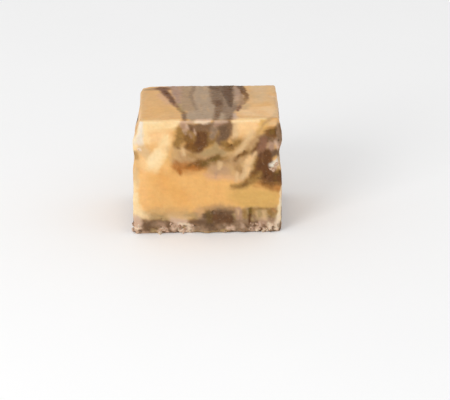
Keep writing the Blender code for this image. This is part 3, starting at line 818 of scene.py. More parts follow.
    top: tuple[Smear, ...] = (
        # Caramel on both sides
        Smear(Tone.FAWN, ((-13.9, 22), (-13.9, 1)), (1, 1), 1.8, 0.7),
        Smear(Tone.TAN, ((-12.5, 17), (-8.4, 9), (-7, 3)), (3, 2.2), 3, 0.25),
        Smear(Tone.FAWN, ((10.8, 21.5), (11.2, 12)), (4.4, 3.6), 2.8, 0.8),
        Smear(Tone.TAN, ((9.2, 17.8), (9.8, 13.8)), (1.2, 1.6), 2, 0.6),
        Smear(Tone.BLUSH, ((8.8, 4.2), (12.2, 4.6)), (5, 5.8), 2.4),
        Smear(Tone.PEACH, ((9.6, 6.2), (11.6, 3.4)), (2.4, 2.4), 2, 0.7),
        # Butter lines just behind the front edge: painted highlight of the rounded top front arris.
        Smear(Tone.BUTTER, ((6, 0.2), (12, 0.2)), (0.8, 0.8), 0.9, 0.8),
        Smear(Tone.BUTTER, ((-13, 0.2), (-6, 0.2)), (0.6, 0.6), 0.7, 0.8),
        Smear(Tone.TAN, ((8.2, 9.6), (7.6, 6.8)), (1, 0.9), 1.2, 0.8),
        Smear(Tone.FAWN, ((13.9, 22), (13.9, 2)), (0.8, 0.8), 1.3, 0.8),
        Smear(Tone.SALMON, ((-9.8, 16), (-8, 10.4)), (1.6, 1), 1.2, 0.9),
        # The wide milky band
        Smear(Tone.MIST, ((-1.4, 23), (-1.2, 12), (0.2, -1)), (5.6, 7.8), 0.9),
        Smear(Tone.MIST, ((-3.4, 2.6), (3.4, 2.4)), (4, 4.4), 0.8),
        Smear(Tone.HAZEL, ((4.2, 22), (4.5, 15), (4.2, 5)), (7, 2.8), 0.8),
        Smear(Tone.TAUPE, ((-4.6, 21.6), (-4.5, 12.8), (-4.1, 7)), (2, 2.6), 0.8),
        Smear(Tone.ROSE, ((-4.7, 21.6), (-4.5, 12.8), (-4.1, 7)), (2.2, 2.6), 1, 0.45),
        Smear(Tone.ROSE, ((-6.9, 21.6), (-6.4, 15.6), (-5.9, 10.6)), (2.6, 1), 0.8),
        Smear(Tone.TAUPE, ((-6, 9.6), (-5.2, 5.4)), (1, 1), 0.8, 0.9),
        Smear(Tone.OLIVE, ((-6.4, 8.2), (-5.2, 4.6)), (0.7, 0.6), 0.7, 0.7),
        Smear(Tone.PLUM, ((-9.5, 20.4), (-8.3, 15.6), (-7.2, 11.2), (-6.3, 8)), (1.9, 0.7), 0.6),
        Smear(Tone.BITTER, ((-8.8, 18), (-7.8, 14), (-7, 11)), (0.8, 0.5), 0.7, 0.7),
        Smear(Tone.COCOA, ((-4.8, 4.8), (-4.7, -0.4)), (0.8, 0.9), 0.6, 0.9),
        Smear(Tone.HAZEL, ((-13, 20.2), (-10.6, 20.1)), (1.4, 1.8), 0.8, 0.65),
        Smear(Tone.PLUM, ((-10.4, 20.2), (-8.8, 20.1)), (1.8, 2.2), 0.9, 0.75),
        Smear(Tone.BITTER, ((-9.9, 20.2), (-8.8, 19.8)), (1.2, 1.4), 0.8, 0.5),
        Smear(Tone.HAZEL, ((-2.8, 21.2), (-3.4, 15), (-3, 10), (-2.2, 6.2)), (0.8, 0.5), 0.6, 0.8),
        # The dark patch
        Smear(Tone.HAZEL, ((1.9, 21.4), (1.9, 14.6), (2.2, 10)), (2.4, 2.4), 0.7),
        Smear(Tone.SMOKE, ((1.9, 17.6), (2.2, 12)), (2, 2), 0.8, 0.35),
        Smear(Tone.SMOKE, ((1.4, 20.8), (2.6, 18.8)), (2.2, 1), 0.9, 0.8),
        Smear(Tone.COCOA, ((2.2, 11.6), (2.5, 9)), (2.1, 1.7), 0.8),
        Smear(Tone.BITTER, ((2.3, 11), (2.6, 9.4)), (1.2, 1), 0.9, 0.7),
        Smear(Tone.HAZEL, ((4.4, 8.4), (4.4, 0.2)), (1.8, 2.2), 1),
        Smear(Tone.COCOA, ((2.4, 8.2), (2.2, 5.4), (1.7, 0)), (1.8, 0.9), 0.8, 0.9),
        Smear(Tone.COCOA, ((5.1, 3), (4.3, 0)), (0.4, 0.8), 0.6, 0.8),
        Smear(Tone.SMOKE, ((4.1, 21.8), (4.2, 17), (4.6, 12.2), (4.9, 7.8)), (3, 0.5), 0.5),
        Smear(Tone.BITTER, ((4.5, 19.4), (4.7, 14), (5, 10)), (1.8, 0.7), 0.8, 0.6),
        Smear(Tone.MIST, ((6.3, 21), (6.7, 15), (6.6, 11)), (1.6, 2), 0.6),
        Smear(Tone.ROSE, ((6.4, 20.4), (6.7, 12.6)), (1.4, 1.6), 0.8, 0.8),
        Smear(Tone.COCOA, ((7.1, 20.8), (7.3, 16), (7.2, 12.4)), (0.7, 0.5), 0.7, 0.7),
        Smear(Tone.HAZEL, ((6.1, 11.4), (5.7, 6.2)), (1.2, 0.7), 0.7, 0.9),
        Smear(Tone.UMBER, ((7.2, 21.6), (7.7, 18.4), (8.3, 15.2), (8, 12.2), (7.3, 10.2)), (1.2, 1), 0.5),
        Smear(Tone.BITTER, ((7.4, 20.6), (8.2, 16), (8, 12.8)), (0.6, 0.5), 0.5, 0.6),
        Smear(Tone.SMOKE, ((7, 21.4), (7.3, 19.4)), (1.6, 1), 0.6, 0.8),
        Smear(Tone.PLUM, ((7.3, 11.4), (6.8, 8.6), (6.2, 5.2)), (1, 0.6), 0.6),
        # Sugary marks at the front arris
        Smear(Tone.LATTE, ((13.6, 1), (12.4, 0.2)), (0.9, 0.7), 0.8, 0.8),
        Smear(Tone.ROSY_SUGAR, ((-2.2, 0.1), (0.4, 0.1)), (0.5, 0.5), 0.6, 0.8),
        Smear(Tone.ROSY_SUGAR, ((5.5, 3.2), (5.6, 0.6)), (0.7, 0.9), 0.8, 0.7),
    )

    def round_the_sides(self) -> tuple[Smear, ...]:
        """Every smear of the four sides, hidden sides first."""
        figures = {"swirl": self.swirl, "curve": self.curve, "strokes": self.strokes}
        copied = itertools.chain.from_iterable(moved(figures[name], *change) for name, *change in self.copies)
        front = (*self.washes, *self.swirl, *self.curve, *self.strokes)
        return (*self.hidden, *copied, *front, *self.corners, *self.arrises)

    def band_place(self, u: Array, v: Array, x: Array) -> Array:
        """Distance round the four sides, growing to the right from the front's left end.

        On the front it is x itself, eased to the nominal half width close to the ends.
        """
        near = rise(np.abs(u), self.end_share, 1)
        front = x * (1 - near) + u * HALF_WIDTH * near
        right = HALF_WIDTH + (v + 1) * HALF_DEPTH
        back = HALF_WIDTH + 2 * HALF_DEPTH + (1 - u) * HALF_WIDTH
        left = 3 * HALF_WIDTH + 2 * HALF_DEPTH + (1 - v) * HALF_DEPTH
        edge = np.abs(v) >= np.abs(u)
        return np.where(edge, np.where(v < 0, front, back), np.where(u > 0, right, left))

    def paint(
        self, points: Array, u: Array, v: Array, block: CutBlock, line: LayerLine, lumps: Array,
        crumbly: Array,
    ) -> tuple[Array, Array]:
        """Lays every smear on the points, over plain caramel, or over chocolate below the layer line.

        The points are first shifted by space noise of three sizes, which makes the smears' edges ragged.

        Args:
            points: the block's points.
            u: -1 at the left side to 1 at the right.
            v: -1 at the front to 1 at the back.
            block: the form that the points lie on.
            line: the height of the chocolate base.
            lumps: the crumbly relief at each point, from -1 to 1.
            crumbly: how crumbly the foot is there, from 0 to 1.

        Returns:
            Each point's colour as light, and its share of chocolate from 0 to 1.
        """
        lap = 4 * (HALF_WIDTH + HALF_DEPTH)
        shift = np.stack([self.ragged(points, seed) for seed in self.warp_seeds], axis=1)
        x, y, z = points.T
        band = self.band_place(u, v, x) + shift[:, 0] + shift[:, 1]
        up = z + shift[:, 2]
        plain = np.tile(Tone.CARAMEL.linear, (len(points), 1))
        tint = self.veins(points, plain)
        for smear in self.round_the_sides():
            tint = self.lay(tint, smear.cover(band, up, lap), smear.tone)
        tint = self.lay_base(points, tint, line, band, up, lap)
        tint = self.lay_crumbs(z, tint, lumps, crumbly)
        from_front = y + eased(np.full_like(y, block.height), block.front)
        flat = plain
        for smear in self.top:
            flat = self.lay(flat, smear.cover(x + shift[:, 0], from_front + shift[:, 1]), smear.tone)
        on_top = rise(z, block.height - self.top_fade[0], block.height - self.top_fade[1])[:, None]
        tint = tint * (1 - on_top) + flat * on_top
        cocoa = 1 - rise(tint @ np.array(self.luminance), *self.cocoa_light)
        mottle = noise_sum(points, self.mottle) + cocoa * noise_sum(points, self.cocoa_mottle)
        return tint * (1 + mottle)[:, None], cocoa

    def ragged(self, points: Array, seed: int) -> Array:
        """A shift in millimetres: the sum of the warps, space noises of three sizes."""
        return noise_sum(points, tuple((cell, height, seed + step) for cell, height, step in self.warps))

    def veins(self, points: Array, tint: Array) -> Array:
        """Faint tan and pale bands in the upper half: where stretched noise passes close to zero."""
        stirred = points @ np.array(self.stirring).T
        strength = self.vein_strength * rise(points[:, 2], *self.vein_height)
        thin = 1 - rise(np.abs(noise_sum(stirred, self.thin_veins)), *self.thin_range)
        wide = rise(noise_sum(stirred, self.wide_veins), *self.wide_range)
        tint = self.lay(tint, strength * wide, Tone.FAWN)
        return self.lay(tint, strength * thin, Tone.LATTE)

    def lay(self, tint: Array, cover: Array, tone: Tone) -> Array:
        """Mixes a tone into the colours by its cover."""
        return tint + cover[:, None] * (tone.linear - tint)

    def lay_base(
        self, points: Array, tint: Array, line: LayerLine, band: Array, up: Array, lap: float
    ) -> Array:
        """The chocolate base: brown below the layer line, feathered upwards, with its own smears on top.

        Args:
            points: the block's points.
            tint: their colours so far.
            line: the height of the chocolate base.
            band: distance round the four sides.
            up: height, with its shift.
            lap: length of the band.

        Returns:
            The colours with the base laid in.
        """
        x, y, z = points.T
        streaks = noise_sum(points, self.streak_noise)
        feather = np.clip(self.feather + self.feather_streaks * streaks, *self.feather_range)
        below = line.height(x, y) - z
        haze = rise(below, self.haze_depth[0] - feather, self.haze_depth[1])
        tint = self.lay(tint, self.haze_share * haze, Tone.TAN)
        patches = noise_sum(points, self.patch_noise) + self.patch_streaks * streaks
        patches = rise(patches, *self.patch_range)
        clouds = rise(noise_sum(points, self.cloud_noise), *self.cloud_range)
        base = np.tile(Tone.HAZEL.linear, (len(points), 1))
        base = self.lay(base, self.patch_share * patches, Tone.COCOA)
        base = self.lay(base, self.cloud_share * clouds, Tone.SMOKE)
        set_in = rise(below, self.base_depth[0] - feather, self.base_depth[1])[:, None]
        tint = tint + set_in * (base - tint)
        for smear in self.foot:
            tint = self.lay(tint, smear.cover(band, up, lap), smear.tone)
        specks = rise(noise_sum(points, self.speck_noise), *self.speck_range)
        return self.lay(tint, self.speck_share * specks * rise(below, *self.speck_depth), Tone.ROSY_SUGAR)

    def lay_crumbs(self, z: Array, tint: Array, lumps: Array, crumbly: Array) -> Array:
        """Pale sugar on the foot's lumps and shade between them, fading out upwards.

        Args:
            z: height of each point.
            tint: their colours so far.
            lumps: the crumbly relief, from -1 to 1.
            crumbly: how crumbly the foot is, from 0 to 1.

        Returns:
            The colours with the crumbs' own laid in.
        """
        low = rise(self.crumb_height - z, 0, self.crumb_fade)
        for tone, share, relief in self.sugar_layers:
            tint = self.lay(tint, share * low * crumbly * rise(lumps, *relief), tone)
        return self.lay(tint, self.gap_share * low * rise(-lumps, *self.gap_range), Tone.SMOKE)


class Wire:
    """A value socket that turns Python arithmetic into Math nodes."""

    def __init__(self, tree: bpy.types.NodeTree, socket: bpy.types.NodeSocket) -> None:
        """Wraps a socket of the tree."""
        self.tree = tree
        self.socket = socket

    def math(self, operation: str, first: Wire | float, second: Wire | float) -> Wire:
        """Adds one Math node.

        Args:
            operation: the node's operation.
            first: left operand, a wire or a number.
            second: right operand, a wire or a number.

        Returns:
            The node's result.
        """
        node = self.tree.nodes.new("ShaderNodeMath")
        node.operation = operation
        for socket, value in zip(node.inputs, (first, second)):
            if isinstance(value, Wire):
                self.tree.links.new(value.socket, socket)
            else:
                socket.default_value = value
        return Wire(self.tree, node.outputs[0])

    def __add__(self, other: Wire | float) -> Wire:
        """self + other."""
        return self.math("ADD", self, other)

    def __radd__(self, other: float) -> Wire:
        """other + self."""
        return self.math("ADD", other, self)

    def __sub__(self, other: Wire | float) -> Wire:
        """self - other."""
        return self.math("SUBTRACT", self, other)

    def __mul__(self, other: Wire | float) -> Wire:
        """self * other."""
        return self.math("MULTIPLY", self, other)

    def __rmul__(self, other: float) -> Wire:
        """other * self."""
        return self.math("MULTIPLY", other, self)


class Dressing:
    """One material's node tree, with a single method that adds any node."""

    def __init__(self, name: str) -> None:
        """Starts an empty material with a Principled shader."""
        self.material = bpy.data.materials.new(name)
        self.material.use_nodes = True
        self.tree = self.material.node_tree
        self.shader = self.tree.nodes["Principled BSDF"]

    def node(self, kind: str, settings: dict[str, object], inputs: dict[str | int, object]) -> bpy.types.Node:
        """Adds a node.

        Args:
            kind: the node's type.
            settings: its own settings, set first.
            inputs: values, wires or sockets for its inputs, by name or number.

        Returns:
            The node.
        """
        made = self.tree.nodes.new(kind)
        for key, value in settings.items():
            setattr(made, key, value)
        for key, value in inputs.items():
            self.feed(made.inputs[key], value)
        return made

    def feed(self, socket: bpy.types.NodeSocket, value: object) -> None:
        """Links a wire or a socket to an input, or sets the input's own value."""
        if isinstance(value, Wire):
            self.tree.links.new(value.socket, socket)
        elif isinstance(value, bpy.types.NodeSocket):
            self.tree.links.new(value, socket)
        else:
            socket.default_value = value

    def noise(
        self, feature: float, detail: float = 2.0, rough: float = 0.5, stretch: Triple | None = None
    ) -> Wire:
        """Blender's noise on Object coordinates, from 0 to 1.

        Args:
            feature: size of its lumps in millimetres.
            detail: octaves.
            rough: weight of each finer octave.
            stretch: optional factors on x, y and z.

        Returns:
            The noise.
        """
        place = self.node("ShaderNodeTexCoord", {}, {}).outputs["Object"]
        if stretch is not None:
            place = self.node("ShaderNodeMapping", {}, {"Vector": place, "Scale": stretch}).outputs["Vector"]
        inputs = {"Vector": place, "Scale": 1 / (feature * MM), "Detail": detail, "Roughness": rough}
        return Wire(self.tree, self.node("ShaderNodeTexNoise", {}, inputs).outputs["Fac"])

    def step(self, value: Wire, low: float, high: float) -> Wire:
        """A smooth step from 0 at low to 1 at high."""
        inputs = {"Value": value, "From Min": low, "From Max": high, "To Min": 0.0, "To Max": 1.0}
        made = self.node("ShaderNodeMapRange", {"interpolation_type": "SMOOTHSTEP"}, inputs)
        return Wire(self.tree, made.outputs["Result"])

    def mix(
        self, share: Wire | float, under: object, over: object, blend: str = "MIX"
    ) -> bpy.types.NodeSocket:
        """Blends two colours, which are the Mix node's inputs 6 and 7, by a share."""
        settings = {"data_type": "RGBA", "blend_type": blend}
        made = self.node("ShaderNodeMix", settings, {"Factor": share, 6: under, 7: over})
        return made.outputs[2]

    def attribute(self, name: str, output: str) -> bpy.types.NodeSocket:
        """Reads a mesh attribute."""
        return self.node("ShaderNodeAttribute", {"attribute_name": name}, {}).outputs[output]

    def set(self, **values: object) -> None:
        """Feeds the Principled shader's inputs, named with underscores for spaces."""
        for key, value in values.items():
            self.feed(self.shader.inputs[key.replace("_", " ")], value)

    def bump(self, height: Wire, depth: float, strength: float) -> bpy.types.NodeSocket:
        """A bump whose full height is depth millimetres."""
        inputs = {"Height": height, "Distance": depth * MM, "Strength": strength}
        return self.node("ShaderNodeBump", {}, inputs).outputs["Normal"]


WHITE = (1, 1, 1, 1)
PAPER = (0.97, 0.97, 0.97, 1)
PAPER_SHADE = (0.95, 0.95, 0.95, 1)
BROWN_SHADE = (0.35, 0.3, 0.25, 1)
PALE_SPECK = (0.85, 0.62, 0.42, 1)


@dataclass(frozen=True)
class FudgeFinish:
    """Fudge: painted tone, mottled, waxy where it is caramel, duller and grainier where it is chocolate."""

    name: str
    # Mottling: how strong, the size and share of its blotches and of the fine noise, and its range.
    mottle: float = 0.07
    blotch_size: float = 1.7
    blotch_share: float = 0.6
    fine_size: float = 0.35
    mottle_range: Span = (0.3, 0.7)
    # Pale specks: their size and range, on chocolate, on everything, and how much paler than the tone.
    speck_size: float = 0.42
    speck_range: Span = (0.6, 0.72)
    speck: float = 0.07
    speck_anywhere: float = 0.05
    speck_pale: float = 0.45
    # Roughness of both sorts of fudge, and how much it varies.
    dull_caramel: float = 0.42
    dull_chocolate: float = 0.62
    dull_spread: float = 0.2
    # Relief in millimetres: grain, less of it on caramel, and upright knife drags.
    relief: float = 0.05
    caramel_grain: float = 0.25
    drag_size: float = 0.3
    drag_share: float = 0.35
    drag_stretch: Triple = (1, 1, 0.12)
    # Light that goes in and comes out again: its share, its reach by colour and in millimetres.
    glow: float = 0.12
    glow_colour: Triple = (1, 0.5, 0.25)
    glow_reach: float = 0.6

    def material(self) -> bpy.types.Material:
        """Builds the material."""
        wax = Dressing(self.name)
        tone = wax.attribute("tone", "Color")
        cocoa = Wire(wax.tree, wax.attribute("cocoa", "Fac"))
        blotch = wax.noise(self.blotch_size, 3.0)
        fine = wax.noise(self.fine_size, 3.0, 0.6)
        shade = wax.step(blotch * self.blotch_share + fine * (1 - self.blotch_share), *self.mottle_range)
        shaded = wax.mix(self.mottle, tone, wax.mix(shade, BROWN_SHADE, WHITE), "OVERLAY")
        specks = wax.step(wax.noise(self.speck_size, 1.5), *self.speck_range)
        specks = specks * (cocoa * self.speck + self.speck_anywhere)
        paler = wax.mix(self.speck_pale, tone, PALE_SPECK)
        colour = wax.mix(specks, shaded, paler)
        dull = self.dull_caramel + cocoa * (self.dull_chocolate - self.dull_caramel)
        dull = dull + (fine - 0.5) * self.dull_spread
        drag = wax.noise(self.drag_size, stretch=self.drag_stretch)
        grain = fine * (self.caramel_grain + (1 - self.caramel_grain) * cocoa)
        height = grain + drag * self.drag_share
        wax.set(Base_Color=colour, Roughness=dull, Normal=wax.bump(height, self.relief, 0.6))
        wax.set(Subsurface_Weight=self.glow, Subsurface_Radius=self.glow_colour)
        wax.set(Subsurface_Scale=self.glow_reach * MM, Specular_IOR_Level=0.4, IOR=1.45)
        return wax.material


@dataclass(frozen=True)
class SugarFinish:
    """Dry sugar crumb: its own painted tone, shaded by noise, faintly see-through, matt and grainy."""

    name: str
    # Shade between the grains: how strong, its size and its range.
    shade: float = 0.3
    shade_size: float = 0.4
    shade_range: Span = (0.35, 0.65)
    # Relief in millimetres, and the size of its grain.
    relief: float = 0.04
    grain_size: float = 0.12
    glow: float = 0.2
    glow_colour: Triple = (1, 0.7, 0.45)
    glow_reach: float = 0.4

    def material(self) -> bpy.types.Material:
        """Builds the material."""
        crumb = Dressing(self.name)
        tone = crumb.attribute("tone", "Color")
        share = crumb.step(crumb.noise(self.shade_size, 3.0), *self.shade_range) * self.shade
        colour = crumb.mix(share, tone, (*Tone.HAZEL.linear, 1))
        height = crumb.noise(self.grain_size, 3.0, 0.6)
        normal = crumb.bump(height, self.relief, 0.8)
        crumb.set(Base_Color=colour, Roughness=0.55 + height * 0.3, Normal=normal)
        crumb.set(Subsurface_Weight=self.glow, Subsurface_Radius=self.glow_colour)
        crumb.set(Subsurface_Scale=self.glow_reach * MM)
        return crumb.material


def make_piece(
    name: str, points: Array, faces: Faces, material: bpy.types.Material, fold_angle: float = 70
) -> bpy.types.Object:
    """Puts worked-out points and faces into a mesh piece.

    Args:
        name: the piece's name.
        points: its points in millimetres.
        faces: the point numbers of each face, seen from outside.
        material: its finish.
        fold_angle: folds sharper than this, in degrees, aren't shaded smooth.

    Returns:
        The object, at the origin.
    """
    mesh = bpy.data.meshes.new(name)
    mesh.vertices.add(len(points))
    mesh.vertices.foreach_set("co", (points * MM).astype(np.float32).ravel())
    mesh.loops.add(faces.size)
    mesh.loops.foreach_set("vertex_index", faces.astype(np.int32).ravel())
    mesh.polygons.add(len(faces))
    mesh.polygons.foreach_set("loop_start", np.arange(0, faces.size, faces.shape[1], dtype=np.int32))
    mesh.update(calc_edges=True)
    mesh.shade_smooth()
    mesh.set_sharp_from_angle(angle=radians(fold_angle))
    mesh.materials.append(material)
    piece = bpy.data.objects.new(name, mesh)
    bpy.context.scene.collection.objects.link(piece)
    return piece


def paint_points(piece: bpy.types.Object, tint: Array) -> None:
    """Stores a colour for each point of the piece, as the attribute called tone."""
    tone = piece.data.attributes.new("tone", "FLOAT_COLOR", "POINT")
    tone.data.foreach_set("color", np.column_stack([tint, np.ones(len(tint))]).astype(np.float32).ravel())


def box_lattice(cells: tuple[int, int, int]) -> tuple[Array, Faces]:
    """The surface of a cube from -1 to 1, cut into cells.

    Every face is a grid of two parameters. Corners that faces share are found by their place in the full
    lattice.

    Args:
        cells: number of cells along x, y and z.

    Returns:
        The corner points, and the outward quads.
    """
    size = np.array(cells) + 1
    stride = np.array([1, size[0], size[0] * size[1]])
    quads = []
    for axis, side in itertools.product(range(3), (0, 1)):
        first, second = (axis + 1) % 3, (axis + 2) % 3
        a, b = np.meshgrid(np.arange(cells[first]), np.arange(cells[second]), indexing="ij")
        start = a.ravel() * stride[first] + b.ravel() * stride[second] + side * cells[axis] * stride[axis]
        onward = start + stride[first]
        ring = np.stack([start, onward, onward + stride[second], start + stride[second]])
        quads.append(ring.T if side else ring.T[:, ::-1])
    ids, numbers = np.unique(np.concatenate(quads), return_inverse=True)
    corner = np.stack([ids % size[0], ids // stride[1] % size[1], ids // stride[2]], axis=1)
    return corner * 2.0 / np.array(cells) - 1, numbers.reshape(-1, 4)


@dataclass(frozen=True)
class FudgeBlock:
    """The two layers of the piece: the caramel body, and the chocolate base it stands on."""

    block: CutBlock = CutBlock()
    line: LayerLine = LayerLine()
    grain: SurfaceGrain = SurfaceGrain()
    marbling: Marbling = Marbling()
    body_cells: tuple[int, int, int] = (150, 114, 100)
    base_cells: tuple[int, int, int] = (150, 114, 30)
    form_cells: tuple[int, int, int] = (32, 24, 20)
    close_up: float = 0.2

    def surface(self, u: Array, v: Array, z: Array) -> tuple[Array, Array, Array]:
        """The finished surface over (u, v, z).

        Returns:
            The points with all relief, their colours, and their share of chocolate.
        """
        points, outward = self.block.place(u, v, z)
        lumps, crumbly = self.grain.lumps(points, v), self.grain.crumbly(points, v)
        tint, cocoa = self.marbling.paint(points, u, v, self.block, self.line, lumps, crumbly)
        return self.grain.apply(points, outward, u, v, self.block, cocoa), tint, cocoa

    def layer(self, cells: tuple[int, int, int], lower: bool) -> tuple[Array, Array, Array, Faces]:
        """Works out one layer.

        The cube's lattice is closed up towards its edges by a cubic, then its height runs from the layer's
        lower surface to its upper one.

        Args:
            cells: number of cells along x, y and z.
            lower: true for the chocolate base.

        Returns:
            The points, their colours, their share of chocolate, and the quads.
        """
        unit, quads = box_lattice(cells)
        eased_unit = (1 + self.close_up) * unit - self.close_up * unit**3
        u, v = eased_unit[:, 0], eased_unit[:, 1]
        seam = self.line.height(u * self.block.left[0][1], v * self.block.front[0][1])
        share = (eased_unit[:, 2] + 1) / 2
        z = seam * share if lower else seam + (self.block.height - seam) * share
        points, tint, cocoa = self.surface(u, v, z)
        return points, tint, cocoa, quads

    def middle(self) -> Array:
        """How far the plain form's own middle lies from the origin."""
        unit, _ = box_lattice(self.form_cells)
        points, _ = self.block.place(unit[:, 0], unit[:, 1], (unit[:, 2] + 1) / 2 * self.block.height)
        middle = (points.min(axis=0) + points.max(axis=0)) / 2
        return np.array([middle[0], middle[1], 0])

    def build(self) -> None:
        """Builds both layers in the place of their CAD nodes."""
        for name, node, cells, lower in (
            ("caramel_fudge", "caramel_body", self.body_cells, False),
            ("chocolate_fudge", "chocolate_base", self.base_cells, True),
        ):
            points, tint, cocoa, quads = self.layer(cells, lower)
            piece = make_piece(name, points - self.middle(), quads, FudgeFinish(name).material())
            paint_points(piece, tint)
            share = piece.data.attributes.new("cocoa", "FLOAT", "POINT")
            share.data.foreach_set("value", cocoa.astype(np.float32))
            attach(piece, "root")
            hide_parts(node)
            log.info("%s: %d points, %d quads", name, len(points), len(quads))


@dataclass(frozen=True)
class Crumbs:
    """Loose-looking crumbs, half sunk in the fudge, each a lumpy ball in one of the tones."""

    name: str
    slot: str
    seed: int
    sizes: Span
    tones: tuple[Tone, ...]
    stretch: Span = (0.55, 1.45)
    # How strong the lumps are, how many fit a millimetre, and how much they differ from crumb to crumb.
    lumpiness: float = 0.8
    lumps_per_mm: float = 4
    lump_change: float = 3
    fold_angle: float = 28.0
    rings: int = 6
    turns: int = 8

    def ball(self) -> Array:
        """The points of a unit ball: rings from pole to pole, then the two poles."""
        polar = np.pi * np.arange(1, self.rings) / self.rings
        polar, turn = np.meshgrid(polar, 2 * np.pi * np.arange(self.turns) / self.turns, indexing="ij")
        level = np.sin(polar)
        around = np.stack([level * np.cos(turn), level * np.sin(turn), np.cos(polar)], axis=-1)
        return np.concatenate([around.reshape(-1, 3), [[0, 0, 1], [0, 0, -1]]])

    def walls(self) -> Faces:
        """The quads between the rings."""
        ring, step = np.meshgrid(np.arange(self.rings - 2), np.arange(self.turns), indexing="ij")
        start, step, after = ring.ravel() * self.turns, step.ravel(), (step.ravel() + 1) % self.turns
        below = start + self.turns
        return np.stack([start + step, below + step, below + after, start + after], axis=1)

    def caps(self) -> Faces:
        """The triangles round the two poles."""
        step = np.arange(self.turns)
        after = (step + 1) % self.turns
        last = (self.rings - 2) * self.turns
        north = np.full(self.turns, (self.rings - 1) * self.turns)
        top = np.stack([north, step, after], axis=1)
        bottom = np.stack([north + 1, last + after, last + step], axis=1)
        return np.concatenate([top, bottom])

    def build(self, centres: Array) -> bpy.types.Object:
        """Sets one crumb at each centre.

        A crumb is the ball, stretched, turned and made lumpy by space noise read at its own place.

        Args:
            centres: the crumbs' middles in millimetres.

        Returns:
            The piece.
        """
        rng = np.random.default_rng(self.seed)
        ball, walls = self.ball(), self.walls()
        count = len(centres)
        least, most = self.sizes
        size = least + (most - least) * rng.random((count, 1, 1)) ** 2
        size = size * rng.uniform(*self.stretch, (count, 1, 3)) / 2
        turned, _ = np.linalg.qr(rng.normal(size=(count, 3, 3)))
        turned *= np.sign(np.linalg.det(turned))[:, None, None]
        shaped = np.einsum("nij,nkj->nki", turned, ball[None] * size)
        noise_place = (shaped * self.lumps_per_mm + centres[:, None] * self.lump_change).reshape(-1, 3)
        lumpy = 1 + self.lumpiness * crumble(noise_place, 1.0, self.seed)
        points = shaped * lumpy.reshape(count, -1, 1) + centres[:, None]
        points[:, :, 2] = np.maximum(points[:, :, 2], 0)
        offset = (np.arange(count) * len(ball))[:, None, None]
        faces = np.concatenate([walls[:, (0, 1, 2)], walls[:, (0, 2, 3)], self.caps()])
        triangles = (faces[None] + offset).reshape(-1, 3)
        sugar = SugarFinish(self.name).material()
        piece = make_piece(self.name, points.reshape(-1, 3), triangles, sugar, self.fold_angle)
        palette = np.array([tone.linear for tone in self.tones])[rng.integers(0, len(self.tones), count)]
        paint_points(piece, np.repeat(palette, len(ball), axis=0))
        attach(piece, "root")
        log.info("%s: %d crumbs, %d triangles", self.name, count, len(triangles))
        return piece


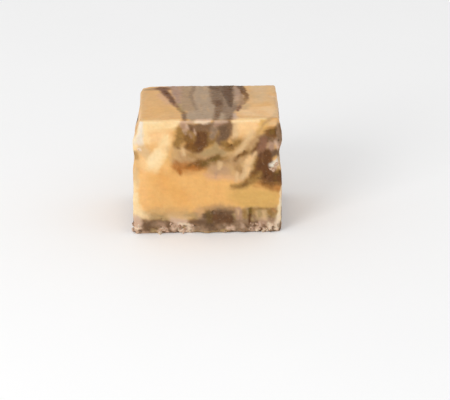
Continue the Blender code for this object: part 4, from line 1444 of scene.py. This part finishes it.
@dataclass(frozen=True)
class Studio:
    """Pale floor, soft light, and the camera at the photograph's angle, in degrees and millimetres."""

    lens: float = 188.3
    sensor: float = 36.0
    pitch: float = 21.1
    turn: float = 0.5
    roll: float = 0.75
    distance: float = 480.0
    frame_width: int = 450
    frame_height: int = 400
    edge_pixel: Span = (208.25, 119.4)
    edge_point: Triple = (0.35, -11.1, 24.8)
    floor_half: float = 1600
    floor_grain: float = 40
    surround: float = 0.81
    key_place: Triple = (-312, -445, 266)
    key_size: float = 260
    key_power: float = 1.4
    aim: Triple = (0, 0, 12)

    def camera(self) -> None:
        """Places the camera so that the middle of the front top edge falls on its pixel."""
        data = bpy.data.cameras.new("camera")
        data.lens, data.sensor_width, data.sensor_fit = self.lens, self.sensor, "HORIZONTAL"
        data.clip_start, data.clip_end = 0.01, 50
        camera = bpy.data.objects.new("camera", data)
        bpy.context.scene.collection.objects.link(camera)
        down, turn, roll = radians(self.pitch), radians(self.turn), radians(self.roll)
        ahead = np.array([sin(turn) * cos(down), cos(turn) * cos(down), -sin(down)])
        level = np.array([cos(turn), -sin(turn), 0])
        right = cos(roll) * level - sin(roll) * np.cross(level, ahead)
        above = np.cross(right, ahead)
        focal = self.lens * self.frame_width / self.sensor
        across = (self.edge_pixel[0] - self.frame_width / 2) / focal
        upward = (self.frame_height / 2 - self.edge_pixel[1]) / focal
        eye = np.array(self.edge_point) - self.distance * (ahead + across * right + upward * above)
        camera.location = eye * MM
        camera.rotation_euler = Matrix(np.stack([right, above, -ahead], axis=1).tolist()).to_euler()
        bpy.context.scene.camera = camera

    def floor(self) -> None:
        """A wide pale floor."""
        half = self.floor_half
        points = np.array([[-half, -half, 0], [half, -half, 0], [half, half, 0], [-half, half, 0]])
        paper = Dressing("floor")
        grain = paper.noise(self.floor_grain)
        paper.set(Base_Color=paper.mix(grain, PAPER_SHADE, PAPER), Roughness=0.8)
        paper.set(Specular_IOR_Level=0.1)
        make_piece("floor", points, np.array([[0, 1, 2, 3]]), paper.material)

    def key(self) -> None:
        """A weak soft light, low at the front left, aimed at the piece."""
        data = bpy.data.lights.new("key", "AREA")
        data.shape, data.size, data.energy = "SQUARE", self.key_size * MM, self.key_power
        lamp = bpy.data.objects.new("key", data)
        bpy.context.scene.collection.objects.link(lamp)
        away = np.array(self.key_place) - np.array(self.aim)
        lamp.location = np.array(self.key_place) * MM
        flat = float(np.hypot(away[0], away[1]))
        lamp.rotation_euler = (np.arctan2(flat, away[2]), 0, np.arctan2(away[0], -away[1]))

    def world(self) -> None:
        """An even white surround, shown without a film look."""
        world = bpy.data.worlds.new("studio")
        world.use_nodes = True
        background = world.node_tree.nodes["Background"]
        background.inputs["Color"].default_value = WHITE
        background.inputs["Strength"].default_value = self.surround
        bpy.context.scene.world = world
        bpy.context.scene.view_settings.view_transform = "Standard"

    def build(self) -> None:
        """Sets up the whole studio."""
        self.camera()
        self.floor()
        self.world()
        self.key()


@dataclass(frozen=True)
class CrumblyFoot:
    """Where crumbs sit round the foot: random points of the sides, kept by chance where it is crumbly."""

    count: int = 200
    seed: int = 6
    tries_each: int = 6
    side_end: float = 0.96
    lowest: float = 0.2
    band: float = 2.0
    crowding: float = 1.6

    def centres(self, block: FudgeBlock) -> Array:
        """Picks the places, more of them low down.

        Args:
            block: the piece that the crumbs sit on.

        Returns:
            The crumbs' middles in millimetres.
        """
        rng = np.random.default_rng(self.seed)
        tries = self.tries_each * self.count
        side = np.floor(rng.uniform(0, 4, tries)).astype(int)
        along = rng.uniform(-self.side_end, self.side_end, tries)
        sign = np.where(side % 2, 1.0, -1.0)
        u = np.where(side < 2, along, sign)
        v = np.where(side < 2, sign, along)
        z = self.lowest + self.band * rng.random(tries) ** self.crowding
        points, _, _ = block.surface(u, v, z)
        kept = rng.random(tries) < block.grain.crumbly(points, v)
        return points[kept][: self.count] - block.middle()


# Where the pale grains sit on the front's right and left arrises.
NIB_CENTRES = (
    (14.4, -11.1, 15.1), (14.1, -11.3, 14.9), (13.5, -11.35, 15.0), (13.1, -11.4, 14.0), (13.6, -11.45, 13.8),
    (14.4, -11.1, 14.3), (13.9, -11.35, 14.4), (13.3, -11.4, 13.3), (-14.0, -11.3, 18.6),
)
FOOT_TONES = (Tone.SUGAR, Tone.ROSY_SUGAR, Tone.ROSY_SUGAR, Tone.ROSE, Tone.HAZEL, Tone.COCOA)
NIB_TONES = (Tone.SUGAR, Tone.CHALK, Tone.ROSY_SUGAR)


def main() -> None:
    """Loads the frame, builds the piece, its crumbs and the studio."""
    logging.basicConfig(level=logging.INFO, format="%(message)s")
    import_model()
    Studio().build()
    block = FudgeBlock()
    block.build()
    Crumbs("foot_crumbs", "chocolate_base", 5, (0.25, 0.8), FOOT_TONES).build(CrumblyFoot().centres(block))
    Crumbs("sugar_nibs", "caramel_body", 8, (0.4, 0.95), NIB_TONES).build(np.array(NIB_CENTRES))


if __name__ == "__main__":
    main()
